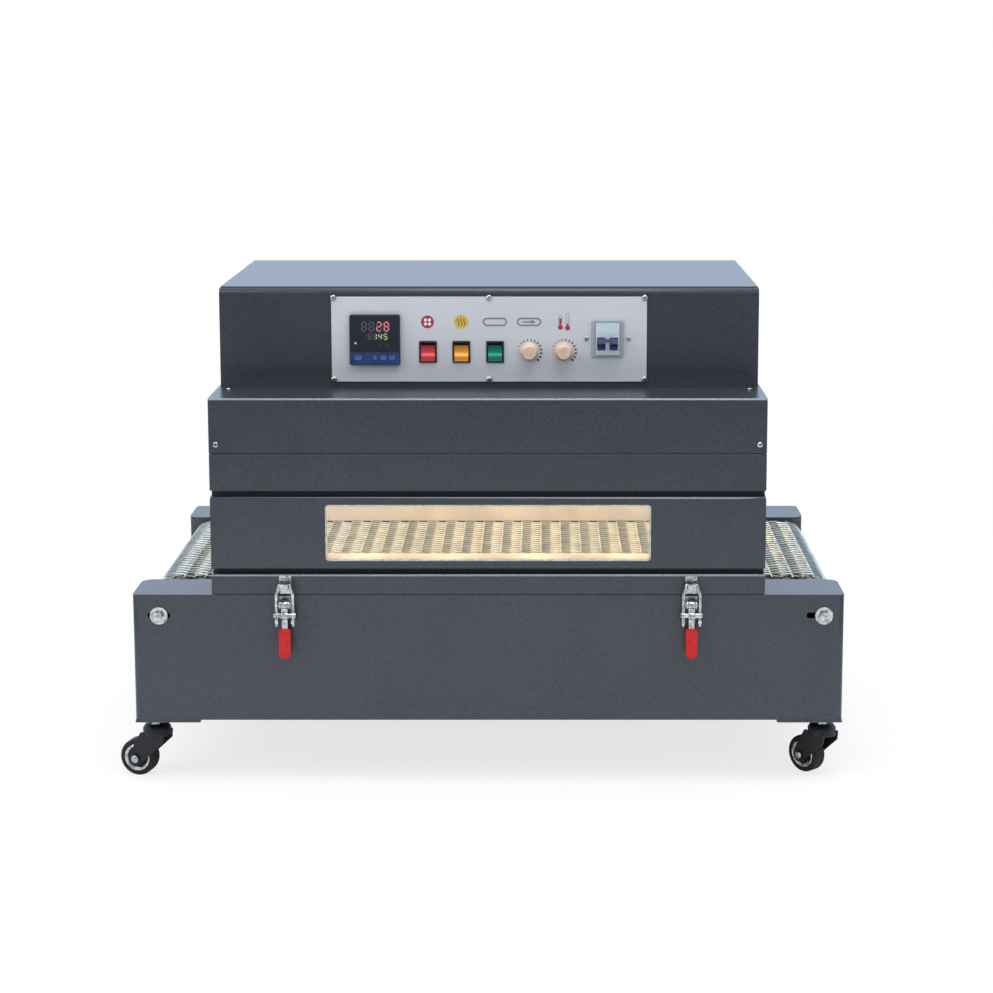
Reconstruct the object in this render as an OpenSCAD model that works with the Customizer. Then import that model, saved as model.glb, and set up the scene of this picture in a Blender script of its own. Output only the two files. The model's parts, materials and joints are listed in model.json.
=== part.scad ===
// Heat shrink tunnel: a conveyor base on casters, a tunnel hood latched to it
// and a control box on top. All sizes are millimetres.
// +X runs along the belt, +Y to the rear, +Z up. The origin is on the floor,
// under the middle of the outline.

/* [Base] */
// Length of the conveyor base
base_length = 1000; // [920:5:1200]
// Depth of the base and of the hood above it
base_depth = 580; // [540:5:700]
// Height of the base box
base_height = 182; // [160:1:220]
// Width of each side frame beside the belt
frame_width = 87; // [75:1:100]
// Thickness of the folded steel sheets
sheet = 2; // [1.5:0.1:3]
// Radius of the base's upright corners
base_corner = 7; // [3:0.5:12]
// Radius of each side frame's corners next to the belt
frame_corner = 16; // [8:0.5:18]

/* [Belt] */
// Distance between two cross rods of the wire belt
belt_pitch = 15.4; // [11:0.1:18]
// Radius of a spiral's bend round its cross rod
belt_knuckle = 3.3; // [2.6:0.1:4]
// Thickness of a flattened spiral between its rods
belt_spiral = 4; // [3:0.1:5]
// Gap between the belt and the front side frame
belt_front_gap = 32; // [6:0.5:40]
// Gap between the belt and the rear side frame
belt_rear_gap = 6; // [4.5:0.5:40]
// Drop from the frame's top down to the belt
belt_drop = 2; // [2:0.5:12]
// Radius of an end roller's drum
drum_radius = 21; // [17:0.5:24]
// Radius of an end roller's shaft
shaft_radius = 6; // [5:0.5:8]
// Distance from the base's left end to its roller
infeed_inset = 37; // [30:0.5:42]
// Distance from the base's right end to its roller
outfeed_inset = 28.5; // [28.5:0.5:42]
// Length of a belt tension slot
slot_length = 32; // [24:1:40]

/* [Hood] */
// Length of belt left open at each end of the hood
hood_inset = 112; // [80:1:150]
// Open seam between the base and the hood
hood_seam = 0.8; // [0.4:0.1:0.9]
// Depth of the folded front trays
tray_depth = 18; // [12:1:24]
// Height of the sill strip that carries the catches
sill_height = 28; // [26:0.5:36]
// Height of the dark grooves over and under the window panel
groove_height = 9; // [6:0.5:12]
// Height of the window panel
window_panel_height = 101.5; // [96:0.5:120]
// Height of the plain band over the window panel
band_height = 52.8; // [40:0.2:70]
// Height of the upper cover's front
cover_height = 77; // [60:1:100]
// Height of the tunnel's ceiling over the base
tunnel_height = 143.5; // [130:0.5:150]
// Gap from the side frame's inner face to the tunnel wall
liner_step = 2; // [1:0.5:4]
// Distance from the hood's front to the tunnel's front wall
liner_setback = 56; // [30:0.5:60]
// Thickness of the tunnel's liner sheets
liner = 1.5; // [1:0.1:2]

/* [Window] */
// Width of the window
window_width = 455; // [380:1:500]
// Height of the window
window_height = 80; // [60:1:84]
// Radius of the window's corners
window_corner = 5; // [3:0.5:10]
// Thickness of the glass
glass = 4; // [3:0.5:6]
// Overlap of the glass behind the window's edge
glass_lap = 6; // [4:0.5:8]
// Width of the pale trim round the window
trim_width = 2.2; // [1.5:0.1:4]

/* [Control box] */
// Set-back of the control box from the hood's front and rear
control_setback = 98; // [80:1:120]
// Set-in of the control box from the hood's ends
control_inset = 4; // [0:0.5:20]
// Height of the control box under its lid
control_height = 142.5; // [140:0.5:180]
// Outer radius of the cover's two long bends
control_bend = 8; // [5:0.5:12]
// Thickness of the lid sheet on the control box
lid_sheet = 1.5; // [1:0.1:3]
// Width of the control panel
panel_width = 449; // [440:1:600]
// Height of the control panel
panel_height = 122; // [116:1:124]
// Thickness of the control panel
panel_sheet = 2; // [1.5:0.1:3]
// Height of the panel's lower edge over the hood
panel_rise = 8.4; // [4:0.2:10]
// Margin of the control panel that lies on the cover
panel_lap = 10; // [8:0.5:14]

/* [Controls] */
// Side of the square temperature controller
controller_side = 72; // [64:1:80]
// Width of a rocker switch bezel
switch_width = 25.5; // [24:0.5:30]
// Height of a rocker switch bezel
switch_height = 31.5; // [30:0.5:36]
// Tilt of a rocker to each side
rocker_tilt = 9; // [6:0.5:10]
// Radius of a knob's skirt
knob_radius = 13.5; // [11:0.5:16]
// Height of a knob
knob_height = 17; // [12:0.5:22]
// Radius of a knob's spindle
spindle_radius = 3; // [2.5:0.1:4]
// Width of the breaker's frame
breaker_width = 46.6; // [44:0.2:56]
// Height of the breaker's frame
breaker_height = 53.6; // [50:0.2:64]

/* [Latches] */
// Distance of each latch from the hood's end
latch_inset = 103.5; // [60:0.5:160]
// Height of a lever's pivot under the base's top
latch_pivot_drop = 11; // [9:0.5:14]
// Distance of a latch's axes from the base's front
latch_stand = 14; // [12:0.5:16]
// Distance from a lever's pivot to its trunnion
latch_crank = 15.5; // [14:0.5:17]
// Length of a wire loop from its trunnion to its top bar
latch_loop = 43; // [42:0.5:46]
// Radius of the loop's wire
loop_wire = 2.5; // [2:0.1:2.6]
// Half of the loop's width
loop_reach = 11.5; // [11.5:0.1:13]
// Radius of a lever's pivot pin
latch_pin = 2.5; // [2:0.1:3]
// Radius of the trunnion bar
trunnion_radius = 4; // [3.6:0.1:4.5]
// Length of the dipped grip
grip_length = 42; // [36:1:50]
// Width of the dipped grip
grip_width = 16; // [13:0.5:17]
// Thickness of the dipped grip
grip_thick = 11; // [8:0.5:12]

/* [Casters] */
// Height of a caster up to its plate
caster_height = 88.5; // [88:0.5:100]
// Radius of a caster wheel
wheel_radius = 26.5; // [24:0.5:27]
// Width of a caster wheel's tread
wheel_width = 22; // [18:0.5:24]
// Offset of the wheel from its swivel axis
caster_trail = 27.5; // [24:0.5:30]
// Radius of a caster's threaded stem
stem_radius = 6; // [5:0.5:7]
// Radius of a wheel's axle
axle_radius = 4; // [3:0.5:5]
// Distance of a caster's stem from the base's end
caster_inset_x = 24; // [22:1:60]
// Distance of a caster's stem from the base's front or rear
caster_inset_y = 35; // [30:1:80]
// Thickness of the plate over a caster
caster_plate = 4.2; // [3:0.1:6]
// Length of the plate over a caster
caster_plate_length = 92; // [80:1:110]

/* [Hidden] */
$fn = 64;
// Running clearance of a pin or shaft in its bore
running = 0.05;
// Gap between faces that lie against each other
seat = 0.3;
// Clearance of a rocker in its bezel
rocker_gap = 0.6;

half_length = base_length / 2;
half_depth = base_depth / 2;
belt_half = half_depth - frame_width;
base_floor = caster_height + caster_plate;
base_top = base_floor + base_height;

// Belt loop: the line through the cross rods, and the rollers inside it
rod_radius = drum_radius + belt_knuckle + 0.5;
belt_top = base_top - belt_drop;
roller_z = belt_top - belt_knuckle - rod_radius;
roller_left = -half_length + infeed_inset;
roller_right = half_length - outfeed_inset;
roller_span = roller_right - roller_left;
loop_length = 2 * roller_span + 2 * PI * rod_radius;
belt_links = 2 * round(loop_length / belt_pitch / 2);
link_step = loop_length / belt_links;
belt_front = -belt_half + belt_front_gap;
belt_width = belt_half - belt_rear_gap - belt_front;
slot_inner = half_length - max(infeed_inset, outfeed_inset) - slot_length / 2;
bolt_radius = 4;
slot_half = bolt_radius + 0.2;
washer = 2;
washer_radius = 12.5;
spring_washer = 2;
spring_washer_radius = 7.2;
bolt_head = 5.5;
bolt_head_radius = 7;
bolt_reach = washer + spring_washer + bolt_head;

// Hood heights, from the sill up
hood_floor = base_top + hood_seam;
hood_half = half_length - hood_inset;
window_panel_z = hood_floor + sill_height + groove_height;
band_z = window_panel_z + window_panel_height + groove_height;
cover_z = band_z + band_height + hood_seam;
hood_top = cover_z + cover_height;
tray_back = -half_depth + tray_depth;
wall_back = tray_back + sheet;
tunnel_half = belt_half - liner_step;
tunnel_front = -half_depth + liner_setback;
tunnel_top = base_top + tunnel_height;
window_z = window_panel_z + window_panel_height / 2;
reveal_width = window_width + 8;
reveal_height = window_height + 8;
tube_radius = 5;
tube_z = tunnel_top - 18;

// Control box
control_front = -half_depth + control_setback;
control_rear = half_depth - control_setback;
control_half = hood_half - control_inset;
control_top = hood_top + control_height;
// Set-in of the lid from the cover's bends and from its ends
lid_inset = control_bend + 1;
lid_end = 1;
// How far the hood's ledges run in under the control box
ledge_lap = 20;
panel_z = hood_top + panel_rise + panel_height / 2;
panel_face = control_front - panel_sheet;

// Places of the controls on the panel, from its middle
controller_at = [-162.5, -0.2];
switches_at = [[-87.2, -17.9], [-39.6, -17.9], [8.4, -17.9]];
knobs_at = [[57.3, -17.4], [106.5, -17.4]];
breaker_at = [168.5, 1.1];
// Depth of the controller's and the breaker's cases behind the panel
case_depth = 60;
controller_body = controller_side - 6;
switch_body = [switch_width - 3, switch_height - 3.5];
switch_depth = 16;
rocker_depth = 5;
rocker_size = [switch_body[0] - 3, switch_body[1] - 4.4];
breaker_window = [breaker_width - 12, breaker_height - 7];
breaker_nose = 6;
nose_size = [breaker_window[0] - 0.6, breaker_window[1] - 0.6];
nose_side = 2.2;
nose_rib = 6;
// Pocket of each pole's drum, between the nose's side and its middle rib
pole_pocket = (nose_size[0] - 2 * nose_side - nose_rib) / 2;
pole_at = (nose_rib + pole_pocket) / 2;
pole_gap = 0.6;
drum_lever = 9;
// Drop of the breaker lever's axis under the breaker's middle
lever_drop = 7;

// Latch places, with distances out from the base's front
latch_x = hood_half - latch_inset;
pivot_z = base_top - latch_pivot_drop;
trunnion_z = pivot_z - latch_crank;
bar_z = trunnion_z + latch_loop;
lip_start = latch_stand + loop_wire + 2;
lip_thick = 2;
latch_reach = lip_start + lip_thick;
bar_half = 7.5;
hook_half = bar_half - loop_wire - 1;
lever_half = 4.5;
ear_thick = 2;
ear_radius = 6;
tang = [8, 4];
grip_top = trunnion_z - 19;

// Casters: side, end and trail angle of each one
stem_x = half_length - caster_inset_x;
stem_y = half_depth - caster_inset_y;
wheel_gap = 8;
crown_floor = 2 * wheel_radius + wheel_gap;
crown_height = 16;
crown_radius = 20;
crown_shoulder = 17;
crown_top = 12;
stem_seat = 4;
seat_gap = 0.5;
nut_height = 6;
nut_rim = 4.5;
cheek_lap = 5;
cheek_back = 17;
cheek_waist = 16;
cheek_drop = 8;
cheek_front = 19;
axle_boss = 11;
axle_end = 2;
axle_head = 2.5;
axle_head_rim = 3;
cheek_gap = 2.5;
cheek_thick = 3;
cheek_start = wheel_width / 2 + cheek_gap;

paint = "#474c55";
zinc = "#c9cccd";
steel = "#9a9d98";
black = "#17181a";

// Centres the outline front to back, between the catches and the rear bolt heads
module placed() {
    translate([0, (latch_reach - bolt_reach) / 2, 0]) children();
}

// Box between two corners
module block(low, high) {
    translate(low) cube(high - low);
}

// Rectangle round the origin with true round corners
module rounded_rect(width, height, radius) {
    square([width, height - 2 * radius], center = true);
    square([width - 2 * radius, height], center = true);
    for (x = [-1, 1], y = [-1, 1])
        translate([x * (width / 2 - radius), y * (height / 2 - radius)]) circle(radius);
}

// Sweeps an X-Z outline along Y from the given start
module along_y(start, depth) {
    translate([0, start + depth, 0]) rotate([90, 0, 0]) linear_extrude(depth) children();
}

// Sweeps a Y-Z outline along X from the given start
module along_x(start, length) {
    translate([start, 0, 0]) rotate([90, 0, 90]) linear_extrude(length) children();
}

// Round rod along X, Y or Z from a start point
module rod_x(start, length, radius) {
    translate(start) rotate([0, 90, 0]) cylinder(h = length, r = radius);
}

module rod_y(start, length, radius) {
    translate(start) rotate([-90, 0, 0]) cylinder(h = length, r = radius);
}

module rod_z(start, length, radius) {
    translate(start) cylinder(h = length, r = radius);
}

// Repeats a piece for the rear as the mirror image of the front
module front_and_rear() {
    children();
    mirror([0, 1, 0]) children();
}

// BASE

// Slot outline that the roller's bolt or shaft slides in
module tension_slot(half_height) {
    middle = slot_inner + slot_length / 2;
    for (side = [-1, 1])
        translate([side * middle, roller_z])
            rounded_rect(slot_length, 2 * half_height, half_height - 0.01);
}

// Plan of a side frame, inset by a wall thickness
module frame_plan(inset) {
    low = -half_length + inset;
    front = -half_depth + inset;
    back = -belt_half - inset;
    outer = base_corner - inset / 2;
    inner = frame_corner - inset / 2;
    translate([low, front + outer]) square([-2 * low, back - inner - front - outer]);
    translate([low + outer, front]) square([-2 * low - 2 * outer, outer]);
    translate([low + inner, back - inner]) square([-2 * low - 2 * inner, inner]);
    for (side = [-1, 1]) {
        translate([side * (-low - outer), front + outer]) circle(outer);
        translate([side * (-low - inner), back - inner]) circle(inner);
    }
}

// Hollow side frame: outer wall, flat top, inner wall and the tension slots
module side_frame() {
    difference() {
        translate([0, 0, base_floor]) linear_extrude(base_height) frame_plan(0);
        translate([0, 0, base_floor + sheet]) linear_extrude(base_height - 2 * sheet) frame_plan(sheet);
        along_y(-half_depth - 1, sheet + 2) tension_slot(slot_half);
        along_y(-belt_half - sheet - 1, sheet + 2) tension_slot(shaft_radius + 0.3);
    }
}

module base_front_frame() {
    color(paint) placed() side_frame();
}

module base_rear_frame() {
    color(paint) placed() mirror([0, 1, 0]) side_frame();
}

// Sheets that close each end between the side frames, under the belt's return
module base_end_sheets() {
    high = roller_z - rod_radius - belt_knuckle - 10;
    end = half_length - frame_corner;
    color(paint) placed()
        for (side = [0, 1])
            mirror([side, 0, 0])
                block([end - sheet, -belt_half, base_floor + sheet], [end, belt_half, high]);
}

module base_floor_pan() {
    end = half_length - frame_corner;
    color(paint) placed()
        block([-end, -belt_half, base_floor], [end, belt_half, base_floor + sheet]);
}

// BELT

// Painted flat bed with turned-down sides that the belt's top run slides on
module belt_bed() {
    top = roller_z + rod_radius - belt_knuckle - seat;
    left = roller_left + drum_radius + 6;
    right = roller_right - drum_radius - 6;
    color(paint) placed() {
        block([left, -belt_half, top - sheet], [right, belt_half, top]);
        for (side = [0, 1])
            mirror([0, side, 0])
                block([left, -belt_half, top - 12], [right, -belt_half + sheet, top - sheet]);
    }
}

// Drums on shafts that reach the outer walls of both side frames
module end_rollers() {
    shaft = half_depth - sheet;
    over = 3;
    color(steel) placed()
        for (x = [roller_left, roller_right]) {
            rod_y([x, -shaft, roller_z], 2 * shaft, shaft_radius);
            rod_y([x, belt_front - over, roller_z], belt_width + 2 * over, drum_radius);
        }
}

// Hex bolts with washers that clamp the shafts in their slots
module tension_bolts() {
    color(zinc) placed()
        front_and_rear()
            for (x = [roller_left, roller_right]) {
                rod_y([x, -half_depth - washer, roller_z], washer + sheet, bolt_radius);
                rod_y([x, -half_depth - washer, roller_z], washer, washer_radius);
                rod_y([x, -half_depth - washer - spring_washer, roller_z], spring_washer, spring_washer_radius);
                translate([x, -half_depth - washer - spring_washer, roller_z])
                    rotate([90, 0, 0]) cylinder(h = bolt_head, r = bolt_head_radius, $fn = 6);
            }
}

// Point on the belt's loop at a distance along it, clockwise from the top left
function loop_point(along) =
    let (arc = PI * rod_radius)
    along < roller_span ? [roller_left + along, roller_z + rod_radius]
    : along < roller_span + arc ?
        let (turn = 90 - (along - roller_span) / rod_radius * 180 / PI)
        [roller_right + rod_radius * cos(turn), roller_z + rod_radius * sin(turn)]
    : along < 2 * roller_span + arc ?
        [roller_right - (along - roller_span - arc), roller_z - rod_radius]
    : let (turn = -90 - (along - 2 * roller_span - arc) / rod_radius * 180 / PI)
        [roller_left + rod_radius * cos(turn), roller_z + rod_radius * sin(turn)];

// Outline of the wire belt: knuckles on the cross rods, flattened spirals between
module belt_outline() {
    for (i = [0 : belt_links - 1]) {
        here = loop_point(i * link_step);
        next = loop_point((i + 1) % belt_links * link_step);
        gap = next - here;
        translate(here) circle(belt_knuckle);
        translate(here) rotate(atan2(gap[1], gap[0])) translate([0, -belt_spiral / 2])
            square([norm(gap), belt_spiral]);
    }
}

module conveyor_belt() {
    color(steel) placed() along_y(belt_front, belt_width) belt_outline();
}

// HOOD

// Side sheet with the tunnel's mouth cut out from below and a flange under the control box
module hood_side() {
    difference() {
        union() {
            block(
                [hood_half - sheet, wall_back, hood_floor],
                [hood_half, half_depth - sheet, hood_top - sheet]);
            block(
                [hood_half - ledge_lap, control_front + ledge_lap, hood_top - sheet],
                [hood_half, control_rear - ledge_lap, hood_top]);
        }
        block([hood_half - sheet - 1, -tunnel_half, hood_floor - 1], [hood_half + 1, tunnel_half, tunnel_top]);
    }
}

module hood_left_side() {
    color(paint) placed() mirror([1, 0, 0]) hood_side();
}

module hood_right_side() {
    color(paint) placed() hood_side();
}

// Wall behind the front trays; it shows dark in the grooves
module hood_front_wall() {
    color("#2b2e34") placed()
        difference() {
            block([-hood_half, tray_back, hood_floor], [hood_half, wall_back, hood_top - sheet]);
            along_y(tray_back - 1, sheet + 2) translate([0, window_z])
                square([reveal_width, reveal_height], center = true);
        }
}

// Folded tray with its open side to the rear
module tray(low, height) {
    difference() {
        block([-hood_half, -half_depth, low], [hood_half, tray_back, low + height]);
        block(
            [-hood_half + sheet, -half_depth + sheet, low + sheet],
            [hood_half - sheet, tray_back + 1, low + height - sheet]);
    }
}

module hood_sill_strip() {
    color(paint) placed() tray(hood_floor, sill_height);
}

module window_panel() {
    color(paint) placed()
        difference() {
            tray(window_panel_z, window_panel_height);
            along_y(-half_depth - 1, sheet + 2) translate([0, window_z])
                rounded_rect(window_width, window_height, window_corner);
        }
}

// Pale edge strip that lines the window's opening
module window_trim() {
    color("#b9b6a8") placed()
        along_y(-half_depth - 0.6, sheet + 0.6)
            translate([0, window_z])
                difference() {
                    rounded_rect(window_width, window_height, window_corner);
                    rounded_rect(
                        window_width - 2 * trim_width,
                        window_height - 2 * trim_width,
                        window_corner - trim_width + 0.5);
                }
}

module window_glass() {
    color("#d8d2c0", 0.4) placed()
        along_y(-half_depth + sheet, glass)
            translate([0, window_z])
                square([window_width + 2 * glass_lap, window_height + 2 * glass_lap], center = true);
}

// Box-shaped reveal that leads the view from the front wall into the tunnel
module window_reveal() {
    start = tray_back;
    depth = tunnel_front - start;
    color("#8a7b66") placed()
        along_y(start, depth)
            translate([0, window_z])
                difference() {
                    square([reveal_width, reveal_height], center = true);
                    square([reveal_width - 2 * liner, reveal_height - 2 * liner], center = true);
                }
}

module hood_front_band() {
    color(paint) placed() tray(band_z, band_height);
}

// Upper front cover with the ledge that runs back under the control box
module hood_front_cover() {
    color(paint) placed() {
        tray(cover_z, cover_height);
        block([-hood_half, tray_back, hood_top - sheet], [hood_half, control_front + ledge_lap, hood_top]);
    }
}

// Rear sheet with the same ledge at its top
module hood_rear_cover() {
    color(paint) placed() {
        block([-hood_half, half_depth - sheet, hood_floor], [hood_half, half_depth, hood_top]);
        block([-hood_half, control_rear - ledge_lap, hood_top - sheet], [hood_half, half_depth - sheet, hood_top]);
    }
}

// Rear wall, ceiling and front wall of the tunnel, with the reveal's hole;
// the rear wall reaches down beside the belt
module tunnel_liner() {
    inner = hood_half - sheet;
    skirt = belt_top - 3;
    color("#d9cfb8") placed() {
        difference() {
            block([-inner, tunnel_front - liner, hood_floor], [inner, tunnel_half + liner, tunnel_top + liner]);
            block([-inner - 1, tunnel_front, hood_floor - 1], [inner + 1, tunnel_half, tunnel_top]);
            along_y(tunnel_front - liner - 1, liner + 2) translate([0, window_z])
                square([reveal_width, reveal_height], center = true);
        }
        block([-inner, tunnel_half, skirt], [inner, tunnel_half + liner, hood_floor]);
    }
}

// Heating tubes across the tunnel, under its ceiling
module heater_tubes() {
    count = 6;
    step = 2 * hood_half / count;
    length = tunnel_half - tunnel_front;
    color("#b98a5a") placed()
        for (i = [0 : count - 1])
            rod_y([-hood_half + (i + 0.5) * step, tunnel_front, tube_z], length, tube_radius);
}

// CONTROL BOX

// Outline of the cover's cross-section, inset by a wall thickness
module cover_outline(inset) {
    low = control_front + inset;
    high = control_rear - inset;
    top = control_top - inset;
    radius = control_bend - inset;
    translate([low, hood_top]) square([high - low, top - radius - hood_top]);
    translate([low + radius, hood_top]) square([high - low - 2 * radius, top - hood_top]);
    for (y = [low + radius, high - radius])
        translate([y, top - radius]) circle(radius);
}

// Folded cover: front, top and rear in one sheet, cut out behind the panel
module control_box_cover() {
    color(paint) placed()
        difference() {
            along_x(-control_half, 2 * control_half)
                difference() {
                    cover_outline(0);
                    cover_outline(sheet);
                    translate([control_front + sheet, hood_top - 1])
                        square([control_rear - control_front - 2 * sheet, 5]);
                }
            along_y(control_front - 1, sheet + 2) translate([0, panel_z])
                square([panel_width - 2 * panel_lap, panel_height - 2 * panel_lap], center = true);
        }
}

module control_box_ends() {
    color(paint) placed()
        for (side = [0, 1])
            mirror([side, 0, 0])
                along_x(control_half - sheet, sheet) cover_outline(sheet);
}

// Flat lid sheet on the cover's top, between the bends
module control_box_lid() {
    color(paint) placed()
        block(
            [-control_half + lid_end, control_front + lid_inset, control_top],
            [control_half - lid_end, control_rear - lid_inset, control_top + lid_sheet]);
}

// Panel sheet with a cut-out for every control
module control_panel() {
    color("#c3c7d0") placed()
        along_y(panel_face, panel_sheet)
            translate([0, panel_z])
                difference() {
                    square([panel_width, panel_height], center = true);
                    translate(controller_at) square(controller_body, center = true);
                    for (at = switches_at)
                        translate(at) square(switch_body, center = true);
                    for (at = knobs_at)
                        translate(at) circle(spindle_radius + running);
                    translate(breaker_at) square(breaker_window, center = true);
                }
}

// Moves a control to its place on the panel's face
module on_panel(at) {
    placed() translate([at[0], panel_face, panel_z + at[1]]) children();
}

// Bezel with a sunk display, four keys and the case behind the panel
module temperature_controller() {
    bezel = 7;
    display = [controller_side - 10, controller_side * 0.6];
    // Place and width of each key, as shares of the controller's side
    keys = [[-0.33, 0.13], [0, 0.06], [0.17, 0.1], [0.34, 0.1]];
    color(black) on_panel(controller_at) {
        difference() {
            along_y(-bezel, bezel) rounded_rect(controller_side, controller_side, 3);
            along_y(-bezel - 1, 2) translate([0, controller_side * 0.13]) rounded_rect(display[0], display[1], 2);
        }
        for (key = keys)
            along_y(-bezel - 0.8, 0.8)
                translate([key[0] * controller_side, -0.35 * controller_side])
                    rounded_rect(key[1] * controller_side, 0.075 * controller_side, 1.5);
        along_y(0, case_depth) square(controller_body - 0.2, center = true);
    }
}

// Switch bezels, each with the pocket that its rocker tilts in
module switch_bezels() {
    flange = 2.2;
    pocket = [rocker_size[0] + 2 * rocker_gap, rocker_size[1] + 2.6];
    color(black)
        for (at = switches_at)
            on_panel(at)
                difference() {
                    union() {
                        along_y(-flange, flange) rounded_rect(switch_width, switch_height, 1.5);
                        along_y(0, switch_depth + 3)
                            square([switch_body[0] - 0.2, switch_body[1] - 0.2], center = true);
                    }
                    along_y(-flange - 1, switch_depth + flange + 1) square(pocket, center = true);
                }
}

// Rocker on its pivot pins: two shallow faces that meet in the middle
module rocker(at, colour) {
    half = rocker_size[1] / 2;
    proud = 3.4;
    pivot = rocker_depth;
    color(colour) on_panel(at) translate([0, pivot, 0]) rotate([rocker_tilt, 0, 0]) {
        along_x(-rocker_size[0] / 2, rocker_size[0])
            polygon([
                [-pivot - proud - 2, half],
                [-pivot - proud, 0],
                [-pivot - proud - 2, -half],
                [2, -half * 0.72],
                [6, 0],
                [2, half * 0.72]
            ]);
        rod_x([-rocker_size[0] / 2 - 0.4, 0, 0], rocker_size[0] + 0.8, 1.6);
    }
}

module rocker_red() {
    rocker(switches_at[0], "#d8352f");
}

module rocker_amber() {
    rocker(switches_at[1], "#f0a22e");
}

module rocker_green() {
    rocker(switches_at[2], "#1f9a70");
}

// Fluted knob with a pointer groove, on a spindle through the panel
module knob(at) {
    flutes = 18;
    color("#ead0b4") on_panel(at) rotate([90, 0, 0]) {
        difference() {
            rotate_extrude()
                polygon([
                    [0, 0.6],
                    [knob_radius, 0.6],
                    [knob_radius, 3],
                    [knob_radius * 0.86, 4],
                    [knob_radius * 0.76, knob_height - 2],
                    [knob_radius * 0.66, knob_height],
                    [0, knob_height]
                ]);
            for (i = [0 : flutes - 1])
                rotate(i * 360 / flutes) translate([knob_radius * 0.93, 0, 4])
                    cylinder(h = knob_height, r = 1.5);
            translate([-0.8, knob_radius * 0.2, knob_height - 0.8]) cube([1.6, knob_radius, 2]);
        }
        translate([0, 0, -12]) cylinder(h = 12.6, r = spindle_radius);
    }
}

module speed_knob() {
    knob(knobs_at[0]);
}

module heat_knob() {
    knob(knobs_at[1]);
}

// Raised frame round the breaker's nose
module breaker_frame() {
    color("#a7abb3") on_panel(breaker_at)
        along_y(-3, 3)
            difference() {
                rounded_rect(breaker_width, breaker_height, 4);
                square(breaker_window, center = true);
            }
}

// Breaker body: its nose fills the frame, with a round pocket for each pole's drum
module breaker_body() {
    color("#e9edf0") on_panel(breaker_at)
        difference() {
            along_y(-breaker_nose, breaker_nose + case_depth) square(nose_size, center = true);
            for (side = [-1, 1])
                rod_x([side * pole_at - pole_pocket / 2, -breaker_nose + 4, -lever_drop], pole_pocket, drum_lever + 1);
        }
}

// Two toggles tied by one bar, each on a drum that turns in its pocket
module breaker_lever() {
    half = pole_pocket / 2 - pole_gap;
    reach = drum_lever + 8;
    pivot = -breaker_nose + 4;
    color("#1f2a4a") on_panel(breaker_at) translate([0, pivot, -lever_drop]) {
        for (side = [-1, 1])
            rod_x([side * pole_at - half, 0, 0], 2 * half, drum_lever);
        rotate([-20, 0, 0]) {
            for (side = [-1, 1])
                block([side * pole_at - half, -reach, -4], [side * pole_at + half, 0, 3]);
            block([-pole_at, -reach, -1], [pole_at, -drum_lever - 3, 3]);
        }
    }
}

// LATCHES

// Puts a latch at its side, with -Y pointing out from the base's front
module at_latch(side) {
    placed() translate([side * latch_x, -half_depth, 0]) children();
}

// Foot plate with two ears and the lever's pivot pin
module latch_base() {
    ear_start = lever_half + 0.5;
    foot_half = 12;
    block([-foot_half, -ear_thick, trunnion_z - 6], [foot_half, 0, base_top - 2]);
    for (side = [0, 1])
        mirror([side, 0, 0]) {
            rod_x([ear_start, -latch_stand, pivot_z], ear_thick, ear_radius);
            block([ear_start, -latch_stand, pivot_z - ear_radius], [ear_start + ear_thick, -ear_thick, pivot_z + ear_radius]);
        }
    rod_x([-ear_start - ear_thick - 1, -latch_stand, pivot_z], 2 * (ear_start + ear_thick + 1), latch_pin);
}

module latch_bases() {
    color(zinc)
        for (side = [-1, 1])
            at_latch(side) latch_base();
}

// Catch plate on the sill, with a hook that the loop's top bar drops into
module latch_catch() {
    arm_top = bar_z - loop_wire - seat;
    lip_top = bar_z + loop_wire + 0.5;
    plate_half = 8.5;
    plate_top = hood_floor + sill_height - 0.8;
    block([-plate_half, -ear_thick, hood_floor + 1], [plate_half, 0, plate_top]);
    block([-hook_half, -lip_start, arm_top - 3], [hook_half, -ear_thick, arm_top]);
    block([-hook_half - 2, -lip_start - lip_thick, arm_top - 3], [hook_half + 2, -lip_start, lip_top]);
}

module latch_catches() {
    color(zinc)
        for (side = [-1, 1])
            at_latch(side) latch_catch();
}

// Flat tang at the lever's end, inside the grip
module lever_tang(low) {
    block([-tang[0] / 2, -latch_stand - tang[1] / 2, low], [tang[0] / 2, -latch_stand + tang[1] / 2, trunnion_z - 4]);
}

// Lever bar with the pivot bore and, below it, the trunnion's bore
module latch_lever() {
    bar = 3;
    difference() {
        union() {
            rod_x([-lever_half, -latch_stand, pivot_z], 2 * lever_half, ear_radius);
            rod_x([-lever_half, -latch_stand, trunnion_z], 2 * lever_half, trunnion_radius + 2.5);
            block([-lever_half, -latch_stand - bar, trunnion_z], [lever_half, -latch_stand + bar, pivot_z]);
            lever_tang(grip_top - grip_length + 8);
        }
        rod_x([-lever_half - 1, -latch_stand, pivot_z], 2 * lever_half + 2, latch_pin + running);
        rod_x([-lever_half - 1, -latch_stand, trunnion_z], 2 * lever_half + 2, trunnion_radius + running);
    }
}

module latch_lever_left() {
    color(zinc) at_latch(-1) latch_lever();
}

module latch_lever_right() {
    color(zinc) at_latch(1) latch_lever();
}

// Dipped grip, round at its free end and hollow round the tang
module latch_grip() {
    half = grip_width / 2;
    low = grip_top - grip_length;
    difference() {
        along_y(-latch_stand - grip_thick / 2, grip_thick) {
            translate([0, low + half]) circle(half);
            translate([-half, low + half]) square([grip_width, grip_length - half - 3]);
            translate([0, grip_top - 3]) rounded_rect(grip_width, 6, 2.5);
        }
        lever_tang(low + 8);
    }
}

module latch_grip_left() {
    color("#d8282c") at_latch(-1) latch_grip();
}

module latch_grip_right() {
    color("#d8282c") at_latch(1) latch_grip();
}

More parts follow.
